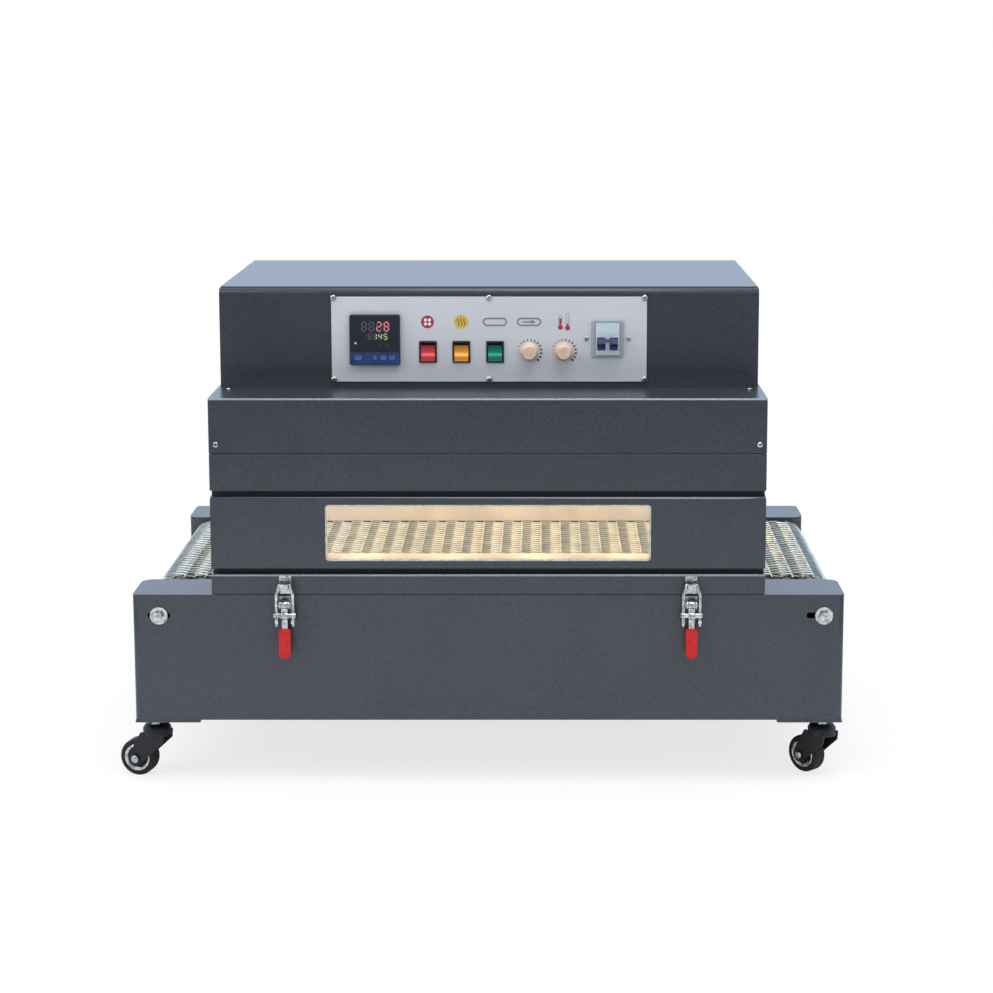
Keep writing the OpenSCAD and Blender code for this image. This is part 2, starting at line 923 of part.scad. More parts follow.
// Straight length of the loop's wire between two X-Z points
module wire_run(from, to) {
    gap = to - from;
    translate([from[0], -latch_stand, from[1]])
        rotate([0, atan2(gap[0], gap[1]), 0]) cylinder(h = norm(gap), r = loop_wire);
}

// Pressed bend of the loop's wire, a little fuller than the wire itself
module wire_bend(at) {
    translate([at[0], -latch_stand, at[1]]) sphere(loop_wire + 0.1);
}

// Wire loop: two threaded legs in the trunnion, drawn in to the top bar
module latch_loop_piece() {
    foot = trunnion_z - 15;
    waist = bar_z - 13;
    for (side = [-1, 1]) {
        wire_run([side * loop_reach, foot], [side * loop_reach, waist]);
        wire_bend([side * loop_reach, waist]);
        wire_run([side * loop_reach, waist], [side * bar_half, bar_z]);
        wire_bend([side * bar_half, bar_z]);
        translate([side * loop_reach, -latch_stand, trunnion_z - 11]) cylinder(h = 5, r = 4.4, $fn = 6);
    }
    wire_run([-bar_half, bar_z], [bar_half, bar_z]);
    rod_x([-loop_reach - 3.8, -latch_stand, trunnion_z], 2 * loop_reach + 7.6, trunnion_radius);
}

module latch_loop_left() {
    color(zinc) at_latch(-1) latch_loop_piece();
}

module latch_loop_right() {
    color(zinc) at_latch(1) latch_loop_piece();
}

// CASTERS

// Puts a caster at a corner: side and end are -1 or 1
module at_caster(side, end) {
    placed() translate([side * stem_x, end * stem_y, 0]) children();
}

// Plates under the base's corners that take the stems
module caster_plates() {
    depth = 2 * caster_inset_y;
    color(paint) placed()
        for (side = [0, 1], end = [0, 1])
            mirror([side, 0, 0]) mirror([0, end, 0])
                block(
                    [half_length - caster_plate_length, half_depth - depth, caster_height],
                    [half_length, half_depth, base_floor]);
}

// Threaded stems with their lock nuts
module caster_stems() {
    nut_floor = crown_floor + crown_height + seat_gap;
    color(zinc)
        for (side = [-1, 1], end = [-1, 1])
            at_caster(side, end) {
                rod_z([0, 0, crown_floor + stem_seat], caster_height - crown_floor - stem_seat, stem_radius);
                translate([0, 0, nut_floor]) cylinder(h = nut_height, r = stem_radius + nut_rim, $fn = 6);
            }
}

// Fork cheek: from the crown down and back to a round end on the axle
module fork_cheek(start) {
    along_y(start, cheek_thick) {
        polygon([
            [-cheek_back, crown_floor + cheek_lap],
            [-cheek_waist, crown_floor - cheek_drop],
            [caster_trail - axle_boss * 10 / 11, wheel_radius - axle_boss * 5 / 11],
            [caster_trail + axle_boss, wheel_radius + axle_boss * 3 / 11],
            [cheek_front, crown_floor + cheek_lap]
        ]);
        translate([caster_trail, wheel_radius]) circle(axle_boss);
    }
}

// Swivel fork: domed crown on the stem, two cheeks and the axle
module caster_fork(side, end, turn) {
    cheek_end = cheek_start + cheek_thick;
    color(black) at_caster(side, end) rotate(turn) {
        difference() {
            translate([0, 0, crown_floor])
                rotate_extrude()
                    polygon([
                        [0, 0],
                        [crown_radius, 0],
                        [crown_radius, crown_height * 0.65],
                        [crown_shoulder, crown_height * 0.92],
                        [crown_top, crown_height],
                        [0, crown_height]
                    ]);
            rod_z([0, 0, crown_floor + stem_seat - seat_gap], crown_height, stem_radius + running);
        }
        difference() {
            union() {
                fork_cheek(cheek_start);
                fork_cheek(-cheek_end);
            }
            rod_z([0, 0, crown_floor + stem_seat - seat_gap], crown_height, stem_radius + running);
        }
        rod_y([caster_trail, -cheek_end - axle_end, wheel_radius], 2 * (cheek_end + axle_end), axle_radius);
        for (low = [-cheek_end - axle_head, cheek_end])
            rod_y([caster_trail, low, wheel_radius], axle_head, axle_radius + axle_head_rim);
    }
}

// Wheel: round-shouldered tread, a sunk web and a hub bored for the axle
module caster_wheel(side, end, turn) {
    half = wheel_width / 2;
    shoulder = 4;
    hub = half + 1;
    color(black) at_caster(side, end) rotate(turn)
        translate([caster_trail, 0, wheel_radius]) rotate([90, 0, 0])
            rotate_extrude()
                difference() {
                    union() {
                        translate([axle_radius + running, -half])
                            square([wheel_radius - shoulder - axle_radius - running, wheel_width]);
                        translate([axle_radius + running, -half + shoulder])
                            square([wheel_radius - axle_radius - running, wheel_width - 2 * shoulder]);
                        for (y = [-half + shoulder, half - shoulder])
                            translate([wheel_radius - shoulder, y]) circle(shoulder);
                        translate([axle_radius + running, -hub]) square([4, 2 * hub]);
                    }
                    for (y = [-half - 1, half - 2])
                        translate([axle_radius + 5, y]) square([wheel_radius * 0.44, 3]);
                }
}

// Trail angles: the rear casters are the front ones turned half round
turn_left = 165;
turn_right = 132;

module caster_fork_front_left() {
    caster_fork(-1, -1, turn_left);
}

module caster_fork_front_right() {
    caster_fork(1, -1, turn_right);
}

module caster_fork_rear_left() {
    caster_fork(-1, 1, turn_right + 180);
}

module caster_fork_rear_right() {
    caster_fork(1, 1, turn_left + 180);
}

module caster_wheel_front_left() {
    caster_wheel(-1, -1, turn_left);
}

module caster_wheel_front_right() {
    caster_wheel(1, -1, turn_right);
}

module caster_wheel_rear_left() {
    caster_wheel(-1, 1, turn_right + 180);
}

module caster_wheel_rear_right() {
    caster_wheel(1, 1, turn_left + 180);
}

base_front_frame();
base_rear_frame();
base_end_sheets();
base_floor_pan();
belt_bed();
end_rollers();
tension_bolts();
conveyor_belt();
hood_left_side();
hood_right_side();
hood_front_wall();
hood_sill_strip();
window_panel();
window_trim();
window_glass();
window_reveal();
hood_front_band();
hood_front_cover();
hood_rear_cover();
tunnel_liner();
heater_tubes();
control_box_cover();
control_box_lid();
control_box_ends();
control_panel();
temperature_controller();
switch_bezels();
rocker_red();
rocker_amber();
rocker_green();
speed_knob();
heat_knob();
breaker_frame();
breaker_body();
breaker_lever();
latch_bases();
latch_catches();
latch_lever_left();
latch_lever_right();
latch_grip_left();
latch_grip_right();
latch_loop_left();
latch_loop_right();
caster_plates();
caster_stems();
caster_fork_front_left();
caster_fork_front_right();
caster_fork_rear_left();
caster_fork_rear_right();
caster_wheel_front_left();
caster_wheel_front_right();
caster_wheel_rear_left();
caster_wheel_rear_right();
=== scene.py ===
import json
from math import atan2, cos, pi, radians, sin

import bmesh
import bpy
import numpy as np
from mathutils import Matrix, Vector

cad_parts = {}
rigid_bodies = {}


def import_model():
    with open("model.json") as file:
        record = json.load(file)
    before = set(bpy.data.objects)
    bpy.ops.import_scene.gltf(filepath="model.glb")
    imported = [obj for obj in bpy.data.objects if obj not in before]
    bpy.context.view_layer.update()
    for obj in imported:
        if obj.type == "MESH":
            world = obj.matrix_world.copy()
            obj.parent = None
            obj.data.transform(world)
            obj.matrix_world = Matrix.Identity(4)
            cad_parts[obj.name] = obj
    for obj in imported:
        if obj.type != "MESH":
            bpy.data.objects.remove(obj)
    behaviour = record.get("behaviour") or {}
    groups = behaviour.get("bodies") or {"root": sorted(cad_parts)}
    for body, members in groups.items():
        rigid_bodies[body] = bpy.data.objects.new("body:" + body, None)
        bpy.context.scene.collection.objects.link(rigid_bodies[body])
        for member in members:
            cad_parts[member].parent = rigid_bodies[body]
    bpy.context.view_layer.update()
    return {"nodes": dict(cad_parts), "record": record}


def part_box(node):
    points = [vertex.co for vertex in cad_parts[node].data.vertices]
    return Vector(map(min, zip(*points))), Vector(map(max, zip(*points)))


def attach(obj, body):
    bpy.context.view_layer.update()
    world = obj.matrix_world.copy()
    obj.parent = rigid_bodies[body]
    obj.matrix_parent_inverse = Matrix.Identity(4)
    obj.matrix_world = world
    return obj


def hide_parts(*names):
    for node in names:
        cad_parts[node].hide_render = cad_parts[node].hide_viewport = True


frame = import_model()
record = frame["record"]

MM = 0.001
PRINT = 0.15 * MM


# Colours and nodes

def linear(hex_colour):
    """Linear RGBA of an sRGB hex colour."""
    parts = [int(hex_colour[i:i + 2], 16) / 255 for i in (1, 3, 5)]
    return (*[p / 12.92 if p <= 0.04045 else ((p + 0.055) / 1.055) ** 2.4 for p in parts], 1.0)


def add(tree, kind, inputs=None, **settings):
    """Adds a node to a tree; an input that is a socket is linked, any other is set."""
    made = tree.nodes.new(kind)
    for name, value in settings.items():
        setattr(made, name, value)
    for name, value in (inputs or {}).items():
        if isinstance(value, bpy.types.NodeSocket):
            tree.links.new(value, made.inputs[name])
        else:
            made.inputs[name].default_value = value
    return made


def place(tree):
    """Metres in the part's own frame, for patterns sized in millimetres."""
    return add(tree, "ShaderNodeTexCoord").outputs["Object"]


def stops(tree, factor, *places):
    """Colour that runs through the given places and hex colours as the factor grows."""
    ramp = add(tree, "ShaderNodeValToRGB", {"Fac": factor})
    ends = ramp.color_ramp.elements
    for place_at, _ in places[2:]:
        ends.new(place_at)
    for end, (place_at, colour) in zip(ends, places):
        end.position, end.color = place_at, linear(colour)
    return ramp.outputs["Color"]


def blend(tree, factor, dark, light, low=0.0, high=1.0):
    """Colour that runs from dark to light as the factor goes from low to high."""
    return stops(tree, factor, (low, dark), (high, light))


def spread(tree, value, low, high):
    """A 0 to 1 value spread over a range, for roughness."""
    return add(tree, "ShaderNodeMapRange", {"Value": value, "To Min": low, "To Max": high}).outputs["Result"]


materials = {}


def material(recipe):
    """The material that a recipe builds, named after it and made once."""
    if recipe.__name__ not in materials:
        made = bpy.data.materials.new(recipe.__name__)
        made.use_nodes = True
        made.node_tree.nodes.clear()
        surface = recipe(made.node_tree)
        add(made.node_tree, "ShaderNodeOutputMaterial", {"Surface": surface})
        materials[recipe.__name__] = made
    return materials[recipe.__name__]


# Materials, each named for what the real one is and how it was made, or for the light or shade painted into it

def hammer_powder_coat(tree):
    """Blue-grey powder coat, cured to a fine pebble: mottled at grain size, with a soft sheen."""
    # The real pebble is finer: it is drawn at 2.2 mm so that it shows
    grain = add(tree, "ShaderNodeTexNoise", {
        "Vector": place(tree), "Scale": 1 / (2.2 * MM), "Detail": 3.0, "Roughness": 0.65})
    cloud = add(tree, "ShaderNodeTexNoise", {"Vector": place(tree), "Scale": 1 / (90 * MM), "Detail": 2.0})
    mottle = blend(tree, grain.outputs["Fac"], "#262b33", "#3a414c", 0.3, 0.7)
    drift = blend(tree, cloud.outputs["Fac"], "#f4f4f4", "#ffffff", 0.35, 0.65)
    colour = add(tree, "ShaderNodeMix", {"Factor": 1.0, "A": mottle, "B": drift},
                 data_type="RGBA", blend_type="MULTIPLY")
    bump = add(tree, "ShaderNodeBump", {
        "Height": grain.outputs["Fac"], "Strength": 0.25, "Distance": 0.15 * MM})
    return add(tree, "ShaderNodeBsdfPrincipled", {
        "Base Color": colour.outputs["Result"],
        "Roughness": spread(tree, grain.outputs["Fac"], 0.24, 0.36),
        "Specular IOR Level": 0.5, "Normal": bump.outputs["Normal"]}).outputs["BSDF"]


def fold_painted_highlight(tree):
    """Painted highlight along a pressed fold: the powder coat made paler and shinier in a line, with the same grain.
    """
    grain = add(tree, "ShaderNodeTexNoise", {"Vector": place(tree), "Scale": 1 / (2.2 * MM), "Detail": 3.0})
    return add(tree, "ShaderNodeBsdfPrincipled", {
        "Base Color": blend(tree, grain.outputs["Fac"], "#787e89", "#8d939e", 0.3, 0.7),
        "Metallic": 0.2,
        "Roughness": spread(tree, grain.outputs["Fac"], 0.22, 0.34)}).outputs["BSDF"]


def zinc_plated_steel(tree):
    """Bright zinc plate on pressed steel: mirror-like, with cloudy darker patches."""
    cloud = add(tree, "ShaderNodeTexNoise", {"Vector": place(tree), "Scale": 1 / (5 * MM), "Detail": 4.0})
    return add(tree, "ShaderNodeBsdfPrincipled", {
        "Base Color": blend(tree, cloud.outputs["Fac"], "#7f8586", "#cfd3d3", 0.32, 0.68),
        "Metallic": 1.0,
        "Roughness": spread(tree, cloud.outputs["Fac"], 0.14, 0.3)}).outputs["BSDF"]


def drawn_wire(tree, dark, light):
    """Drawn steel wire, dulled by heat: soft patches a few links long, shinier where it is paler."""
    cloud = add(tree, "ShaderNodeTexNoise", {"Vector": place(tree), "Scale": 1 / (22 * MM), "Detail": 5.0})
    return add(tree, "ShaderNodeBsdfPrincipled", {
        "Base Color": blend(tree, cloud.outputs["Fac"], dark, light, 0.3, 0.7),
        "Metallic": 0.6,
        "Roughness": spread(tree, cloud.outputs["Fac"], 0.48, 0.34)}).outputs["BSDF"]


def steel_wire_painted_lit(tree):
    """Right-hand spirals, painted lighter as the lit side of the weave."""
    return drawn_wire(tree, "#b5c9d2", "#d8e6ec")


def steel_wire_painted_shade(tree):
    """Left-hand spirals, painted a darker grey-green as the shaded side of the weave."""
    return drawn_wire(tree, "#84959c", "#a8b8c0")


def cold_rolled_steel(tree):
    """Bare rolled sheet and turned drums: grey with faint streaks along the roll."""
    length, breadth = 1 / (125 * MM), 1 / (2.5 * MM)
    streaks = add(tree, "ShaderNodeMapping", {"Vector": place(tree), "Scale": (length, breadth, breadth)})
    roll = add(tree, "ShaderNodeTexNoise", {"Vector": streaks.outputs["Vector"], "Scale": 1.0, "Detail": 3.0})
    return add(tree, "ShaderNodeBsdfPrincipled", {
        "Base Color": blend(tree, roll.outputs["Fac"], "#85898a", "#adb0b0", 0.3, 0.7),
        "Metallic": 0.9,
        "Roughness": spread(tree, roll.outputs["Fac"], 0.35, 0.5)}).outputs["BSDF"]


def dipped_vinyl(tree):
    """Soft red vinyl dipped over the lever's end: wet gloss with slow waves."""
    wave = add(tree, "ShaderNodeTexNoise", {"Vector": place(tree), "Scale": 1 / (9 * MM), "Detail": 1.0})
    bump = add(tree, "ShaderNodeBump", {
        "Height": wave.outputs["Fac"], "Strength": 0.3, "Distance": 0.6 * MM})
    return add(tree, "ShaderNodeBsdfPrincipled", {
        "Base Color": blend(tree, wave.outputs["Fac"], "#ab0d11", "#c1191c", 0.3, 0.7),
        "Roughness": 0.34, "Specular IOR Level": 0.3, "Normal": bump.outputs["Normal"]}).outputs["BSDF"]


def annealed_stainless_lining(tree):
    """Thin bright-annealed lining: cool satin metal with cloudy patches that take the tubes' warm light."""
    cloud = add(tree, "ShaderNodeTexNoise", {"Vector": place(tree), "Scale": 1 / (70 * MM), "Detail": 4.0})
    return add(tree, "ShaderNodeBsdfPrincipled", {
        "Base Color": blend(tree, cloud.outputs["Fac"], "#c6ced4", "#e4ebf0", 0.3, 0.7),
        "Metallic": 0.2,
        "Roughness": spread(tree, cloud.outputs["Fac"], 0.4, 0.6)}).outputs["BSDF"]


def glowing_heater_tube(tree):
    """Sheathed heating tube at work: straw metal with a warm even glow."""
    cloud = add(tree, "ShaderNodeTexNoise", {"Vector": place(tree), "Scale": 1 / (40 * MM), "Detail": 3.0})
    glow = blend(tree, cloud.outputs["Fac"], "#ffc58a", "#ffd6a6", 0.3, 0.7)
    return add(tree, "ShaderNodeBsdfPrincipled", {
        "Base Color": glow, "Roughness": 0.5,
        "Emission Color": glow, "Emission Strength": 14.5}).outputs["BSDF"]


def toughened_glass(tree):
    """Clear toughened pane: sharp reflections with a trace of haze."""
    haze = add(tree, "ShaderNodeTexNoise", {"Vector": place(tree), "Scale": 1 / (120 * MM), "Detail": 2.0})
    return add(tree, "ShaderNodeBsdfPrincipled", {
        "Base Color": blend(tree, haze.outputs["Fac"], "#f4f3ee", "#ffffff", 0.3, 0.7),
        "Roughness": 0.02, "IOR": 1.45, "Transmission Weight": 1.0}).outputs["BSDF"]


def folded_aluminium_trim(tree):
    """Mill-finish edge strip: pale, with short scuffs."""
    scuff = add(tree, "ShaderNodeTexNoise", {"Vector": place(tree), "Scale": 1 / (6 * MM), "Detail": 4.0})
    return add(tree, "ShaderNodeBsdfPrincipled", {
        "Base Color": blend(tree, scuff.outputs["Fac"], "#a8a598", "#d2cfc4", 0.3, 0.7),
        "Metallic": 0.6,
        "Roughness": spread(tree, scuff.outputs["Fac"], 0.35, 0.55)}).outputs["BSDF"]


def anodised_panel(tree):
    """Silver anodised sheet, brushed before the bath: fine level lines on a satin grey."""
    # Brush lines about 70 mm long and 0.4 mm apart, coarser than real ones so that they show
    lines = add(tree, "ShaderNodeMapping", {"Vector": place(tree), "Scale": (14.0, 14.0, 2600.0)})
    brush = add(tree, "ShaderNodeTexNoise", {"Vector": lines.outputs["Vector"], "Scale": 1.0, "Detail": 4.0})
    bump = add(tree, "ShaderNodeBump", {
        "Height": brush.outputs["Fac"], "Strength": 0.05, "Distance": 0.05 * MM})
    return add(tree, "ShaderNodeBsdfPrincipled", {
        "Base Color": blend(tree, brush.outputs["Fac"], "#bec3cc", "#cacfd7", 0.3, 0.7),
        "Metallic": 0.15,
        "Roughness": spread(tree, brush.outputs["Fac"], 0.42, 0.55),
        "Normal": bump.outputs["Normal"]}).outputs["BSDF"]


def black_abs_and_recess_shade(tree):
    """Moulded ABS with a spark-eroded grain: near black and half matt. The same black fills the screws' cross
    recesses as painted shade.
    """
    grain = add(tree, "ShaderNodeTexNoise", {"Vector": place(tree), "Scale": 1 / (0.8 * MM), "Detail": 2.0})
    bump = add(tree, "ShaderNodeBump", {
        "Height": grain.outputs["Fac"], "Strength": 0.15, "Distance": 0.1 * MM})
    return add(tree, "ShaderNodeBsdfPrincipled", {
        "Base Color": blend(tree, grain.outputs["Fac"], "#16181b", "#23262a", 0.3, 0.7),
        "Roughness": spread(tree, grain.outputs["Fac"], 0.38, 0.5),
        "Normal": bump.outputs["Normal"]}).outputs["BSDF"]


def lit_lens(tree, rocker, foot, middle, top, strength):
    """Polycarbonate rocker lens lit from behind: dark ribs at its foot, a painted highlight low down where the proud
    lower half catches the light, duller above.
    """
    low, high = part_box(rocker)
    height = add(tree, "ShaderNodeSeparateXYZ", {"Vector": place(tree)}).outputs["Z"]
    share = add(tree, "ShaderNodeMapRange", {"Value": height, "From Min": low.z, "From Max": high.z})
    # The middle stop is a painted highlight on the proud lower half; the glow carries it into the emission too.
    glow = stops(tree, share.outputs["Result"], (0.0, foot), (0.05, top), (0.1, foot), (0.15, top), (0.2, foot),
                 (0.28, top), (0.42, middle), (0.58, top), (1.0, foot))
    grain = add(tree, "ShaderNodeTexNoise", {"Vector": place(tree), "Scale": 1 / (4 * MM), "Detail": 1.0})
    return add(tree, "ShaderNodeBsdfPrincipled", {
        "Base Color": glow, "Roughness": spread(tree, grain.outputs["Fac"], 0.18, 0.3), "Coat Weight": 0.3,
        "Emission Color": glow, "Emission Strength": strength}).outputs["BSDF"]


def red_lens(tree):
    """Red polycarbonate over a lamp."""
    return lit_lens(tree, "rocker_red", "#7c252a", "#f0666a", "#b83b40", 0.4)


def amber_lens(tree):
    """Amber polycarbonate over a lamp."""
    return lit_lens(tree, "rocker_amber", "#8a5a22", "#ffc060", "#d58e36", 0.4)


def green_lens(tree):
    """Green polycarbonate over a dim lamp."""
    return lit_lens(tree, "rocker_green", "#0d4f43", "#3fae92", "#1c7864", 0.25)


def moulded_cream_phenolic(tree):
    """Cream thermoset knob: warm, with a slight flow mottle and a dull gloss."""
    flow = add(tree, "ShaderNodeTexNoise", {"Vector": place(tree), "Scale": 1 / (6 * MM), "Detail": 2.0})
    return add(tree, "ShaderNodeBsdfPrincipled", {
        "Base Color": blend(tree, flow.outputs["Fac"], "#c9ae9a", "#dac5b4", 0.3, 0.7),
        "Roughness": 0.42, "Subsurface Weight": 0.08,
        "Subsurface Radius": (2 * MM, 1.2 * MM, 0.8 * MM)}).outputs["BSDF"]


def moulded_grey_frame(tree):
    """Grey moulded surround: even and half matt."""
    grain = add(tree, "ShaderNodeTexNoise", {"Vector": place(tree), "Scale": 1 / (1.2 * MM), "Detail": 2.0})
    return add(tree, "ShaderNodeBsdfPrincipled", {
        "Base Color": blend(tree, grain.outputs["Fac"], "#8f95a1", "#a7acb7", 0.3, 0.7),
        "Roughness": spread(tree, grain.outputs["Fac"], 0.4, 0.5)}).outputs["BSDF"]


def moulded_white_breaker(tree):
    """White polyamide breaker case: cool white with a faint moulded grain."""
    grain = add(tree, "ShaderNodeTexNoise", {"Vector": place(tree), "Scale": 1 / (1.5 * MM), "Detail": 2.0})
    return add(tree, "ShaderNodeBsdfPrincipled", {
        "Base Color": blend(tree, grain.outputs["Fac"], "#aec3cc", "#c4d5dc", 0.3, 0.7),
        "Roughness": spread(tree, grain.outputs["Fac"], 0.35, 0.45)}).outputs["BSDF"]


def moulded_navy_toggle(tree):
    """Dark navy toggle: smooth and a little glossy."""
    grain = add(tree, "ShaderNodeTexNoise", {"Vector": place(tree), "Scale": 1 / (2 * MM), "Detail": 2.0})
    return add(tree, "ShaderNodeBsdfPrincipled", {
        "Base Color": blend(tree, grain.outputs["Fac"], "#2a3655", "#3b4a70", 0.3, 0.7),
        "Roughness": 0.32}).outputs["BSDF"]


def moulded_black_nylon(tree):
    """Glass-filled nylon caster fork: deep black, satin, lightly pebbled."""
    grain = add(tree, "ShaderNodeTexNoise", {"Vector": place(tree), "Scale": 1 / (1.0 * MM), "Detail": 3.0})
    bump = add(tree, "ShaderNodeBump", {
        "Height": grain.outputs["Fac"], "Strength": 0.2, "Distance": 0.1 * MM})
    return add(tree, "ShaderNodeBsdfPrincipled", {
        "Base Color": blend(tree, grain.outputs["Fac"], "#0d1014", "#1a1d22", 0.3, 0.7),
        "Roughness": spread(tree, grain.outputs["Fac"], 0.36, 0.5), "Specular IOR Level": 0.3,
        "Normal": bump.outputs["Normal"]}).outputs["BSDF"]


def moulded_rubber_tread(tree):
    """Black rubber tyre: dull, with dusty grey patches."""
    dust = add(tree, "ShaderNodeTexNoise", {"Vector": place(tree), "Scale": 1 / (8 * MM), "Detail": 4.0})
    return add(tree, "ShaderNodeBsdfPrincipled", {
        "Base Color": blend(tree, dust.outputs["Fac"], "#0f1012", "#1f2023", 0.35, 0.75),
        "Roughness": spread(tree, dust.outputs["Fac"], 0.5, 0.7), "Specular IOR Level": 0.3}).outputs["BSDF"]


def screen_ink(tree, dark, light):
    """Screen-printed ink: flat, with a slight unevenness at its edge."""
    fleck = add(tree, "ShaderNodeTexNoise", {"Vector": place(tree), "Scale": 1 / (1.5 * MM), "Detail": 2.0})
    return add(tree, "ShaderNodeBsdfPrincipled", {
        "Base Color": blend(tree, fleck.outputs["Fac"], dark, light, 0.3, 0.7),
        "Roughness": 0.5}).outputs["BSDF"]


def black_ink(tree):
    """Black screen ink."""
    return screen_ink(tree, "#2b2e36", "#3d414a")


def grey_ink(tree):
    """Grey screen ink."""
    return screen_ink(tree, "#747985", "#858a95")


def red_ink(tree):
    """Red screen ink."""
    return screen_ink(tree, "#8e2137", "#a52d42")


def yellow_ink(tree):
    """Yellow screen ink."""
    return screen_ink(tree, "#c2a12c", "#d3b440")


def white_ink(tree):
    """White screen ink."""
    return screen_ink(tree, "#d9d3da", "#ece8ee")


def smoked_display(tree):
    """Smoked acrylic display window: black and glossy with faint dust."""
    dust = add(tree, "ShaderNodeTexNoise", {"Vector": place(tree), "Scale": 1 / (2 * MM), "Detail": 4.0})
    return add(tree, "ShaderNodeBsdfPrincipled", {
        "Base Color": blend(tree, dust.outputs["Fac"], "#262b33", "#333842", 0.4, 0.8),
        "Roughness": 0.16, "Coat Weight": 0.3}).outputs["BSDF"]


def blue_keypad(tree):
    """Blue polyester keypad: satin, printed in two close blues."""
    tone = add(tree, "ShaderNodeTexNoise", {"Vector": place(tree), "Scale": 1 / (14 * MM), "Detail": 2.0})
    return add(tree, "ShaderNodeBsdfPrincipled", {
        "Base Color": blend(tree, tone.outputs["Fac"], "#152c5e", "#1f427c", 0.3, 0.7),
        "Roughness": 0.35}).outputs["BSDF"]


def pale_blue_key(tree):
    """Lighter blue raised key of the keypad."""
    tone = add(tree, "ShaderNodeTexNoise", {"Vector": place(tree), "Scale": 1 / (5 * MM), "Detail": 2.0})
    return add(tree, "ShaderNodeBsdfPrincipled", {
        "Base Color": blend(tree, tone.outputs["Fac"], "#3b58a0", "#5570b4", 0.3, 0.7),
        "Roughness": 0.35}).outputs["BSDF"]


def segment_light(tree, colour, strength, hot):
    """LED segment behind its diffuser: even colour with a soft hot spot."""
    spot = add(tree, "ShaderNodeTexNoise", {"Vector": place(tree), "Scale": 1 / (3 * MM), "Detail": 0.0})
    glow = add(tree, "ShaderNodeMix", {
        "Factor": spread(tree, spot.outputs["Fac"], 0.0, hot), "A": linear(colour), "B": linear("#ffffff")},
        data_type="RGBA").outputs["Result"]
    return add(tree, "ShaderNodeBsdfPrincipled", {
        "Base Color": glow, "Roughness": 0.4,
        "Emission Color": glow, "Emission Strength": strength}).outputs["BSDF"]


def red_segment(tree):
    """Lit red segment."""
    return segment_light(tree, "#b83243", 0.5, 0.3)


def green_segment(tree):
    """Lit green segment."""
    return segment_light(tree, "#7fb35c", 0.4, 0.3)


def dark_segment(tree):
    """Unlit segment behind the smoked window."""
    return segment_light(tree, "#3b4148", 0.0, 0.08)


# Mesh building: pieces are drawn flat, x to the right, y up and z out, and then placed

def on_front(face):
    """Places a flat drawing on a face that looks to the front."""
    return Matrix(((1, 0, 0, 0), (0, 0, -1, face), (0, 1, 0, 0), (0, 0, 0, 1)))


def prism(bm, outline, low, high):
    """Closed prism over a flat outline."""
    rings = [[bm.verts.new((x, y, z)) for x, y in outline] for z in (low, high)]
    bm.faces.new(rings[0][::-1])
    bm.faces.new(rings[1])
    count = len(outline)
    for i in range(count):
        j = (i + 1) % count
        bm.faces.new((rings[0][i], rings[0][j], rings[1][j], rings[1][i]))


def circle(centre, radius, segments=24, start=0.0, turn=2 * pi):
    """Points round a circle or along an arc."""
    steps = segments if abs(turn - 2 * pi) < 1e-6 else segments + 1
    return [(centre[0] + radius * cos(start + turn * i / segments),
             centre[1] + radius * sin(start + turn * i / segments)) for i in range(steps)]


def rounded(centre, width, height, radius, segments=5):
    """Outline of a rectangle with round corners."""
    outline = []
    for turn, (sx, sy) in enumerate(((1, 1), (-1, 1), (-1, -1), (1, -1))):
        corner = (centre[0] + sx * (width / 2 - radius), centre[1] + sy * (height / 2 - radius))
        outline += circle(corner, radius, segments, turn * pi / 2, pi / 2)
    return outline


def band(bm, outer, inner, low, high):
    """Closed flat band between two outlines with the same number of points."""
    rings = [[bm.verts.new((x, y, z)) for x, y in line]
             for line, z in ((outer, low), (outer, high), (inner, high), (inner, low))]
    count = len(outer)
    for a in range(4):
        b = (a + 1) % 4
        for i in range(count):
            j = (i + 1) % count
            bm.faces.new((rings[a][i], rings[a][j], rings[b][j], rings[b][i]))


def stroke(bm, start, end, width, low, high):
    """Straight printed line."""
    along = Vector(end) - Vector(start)
    side = Vector((-along.y, along.x)).normalized() * width / 2
    a, b = Vector(start), Vector(end)
    prism(bm, [tuple(p) for p in (a - side, b - side, b + side, a + side)], low, high)


def lathe(bm, profile, centre=(0.0, 0.0), segments=24):
    """Turned solid: radius and height pairs from the foot's middle to the top's middle."""
    rings = []
    for radius, height in profile:
        if radius < 1e-9:
            rings.append([bm.verts.new((*centre, height))])
        else:
            rings.append([bm.verts.new((x, y, height)) for x, y in circle(centre, radius, segments)])
    for low, high in zip(rings, rings[1:]):
        for i in range(segments):
            j = (i + 1) % segments
            corners = [low[i % len(low)], low[j % len(low)], high[j % len(high)], high[i % len(high)]]
            bm.faces.new(list(dict.fromkeys(corners)))


def piece(name, bm, recipe, body, matrix=None, smooth=False, replaces=()):
    """Turns a drawing into a piece that rides on a body."""
    bmesh.ops.transform(bm, matrix=matrix or Matrix(), verts=bm.verts)
    bmesh.ops.recalc_face_normals(bm, faces=bm.faces)
    mesh = bpy.data.meshes.new(name)
    bm.to_mesh(mesh)
    bm.free()
    return dress(name, mesh, recipe, body, smooth, replaces)


def dress(name, mesh, recipe, body, smooth=False, replaces=()):
    """Gives a mesh its finish, its body and the nodes that it stands for."""
    mesh.polygons.foreach_set("use_smooth", [smooth] * len(mesh.polygons))
    mesh.materials.append(material(recipe))
    made = bpy.data.objects.new(name, mesh)
    bpy.context.scene.collection.objects.link(made)
    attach(made, body)
    if replaces:
        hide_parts(*replaces)
    return made


# Finishes of the CAD pieces

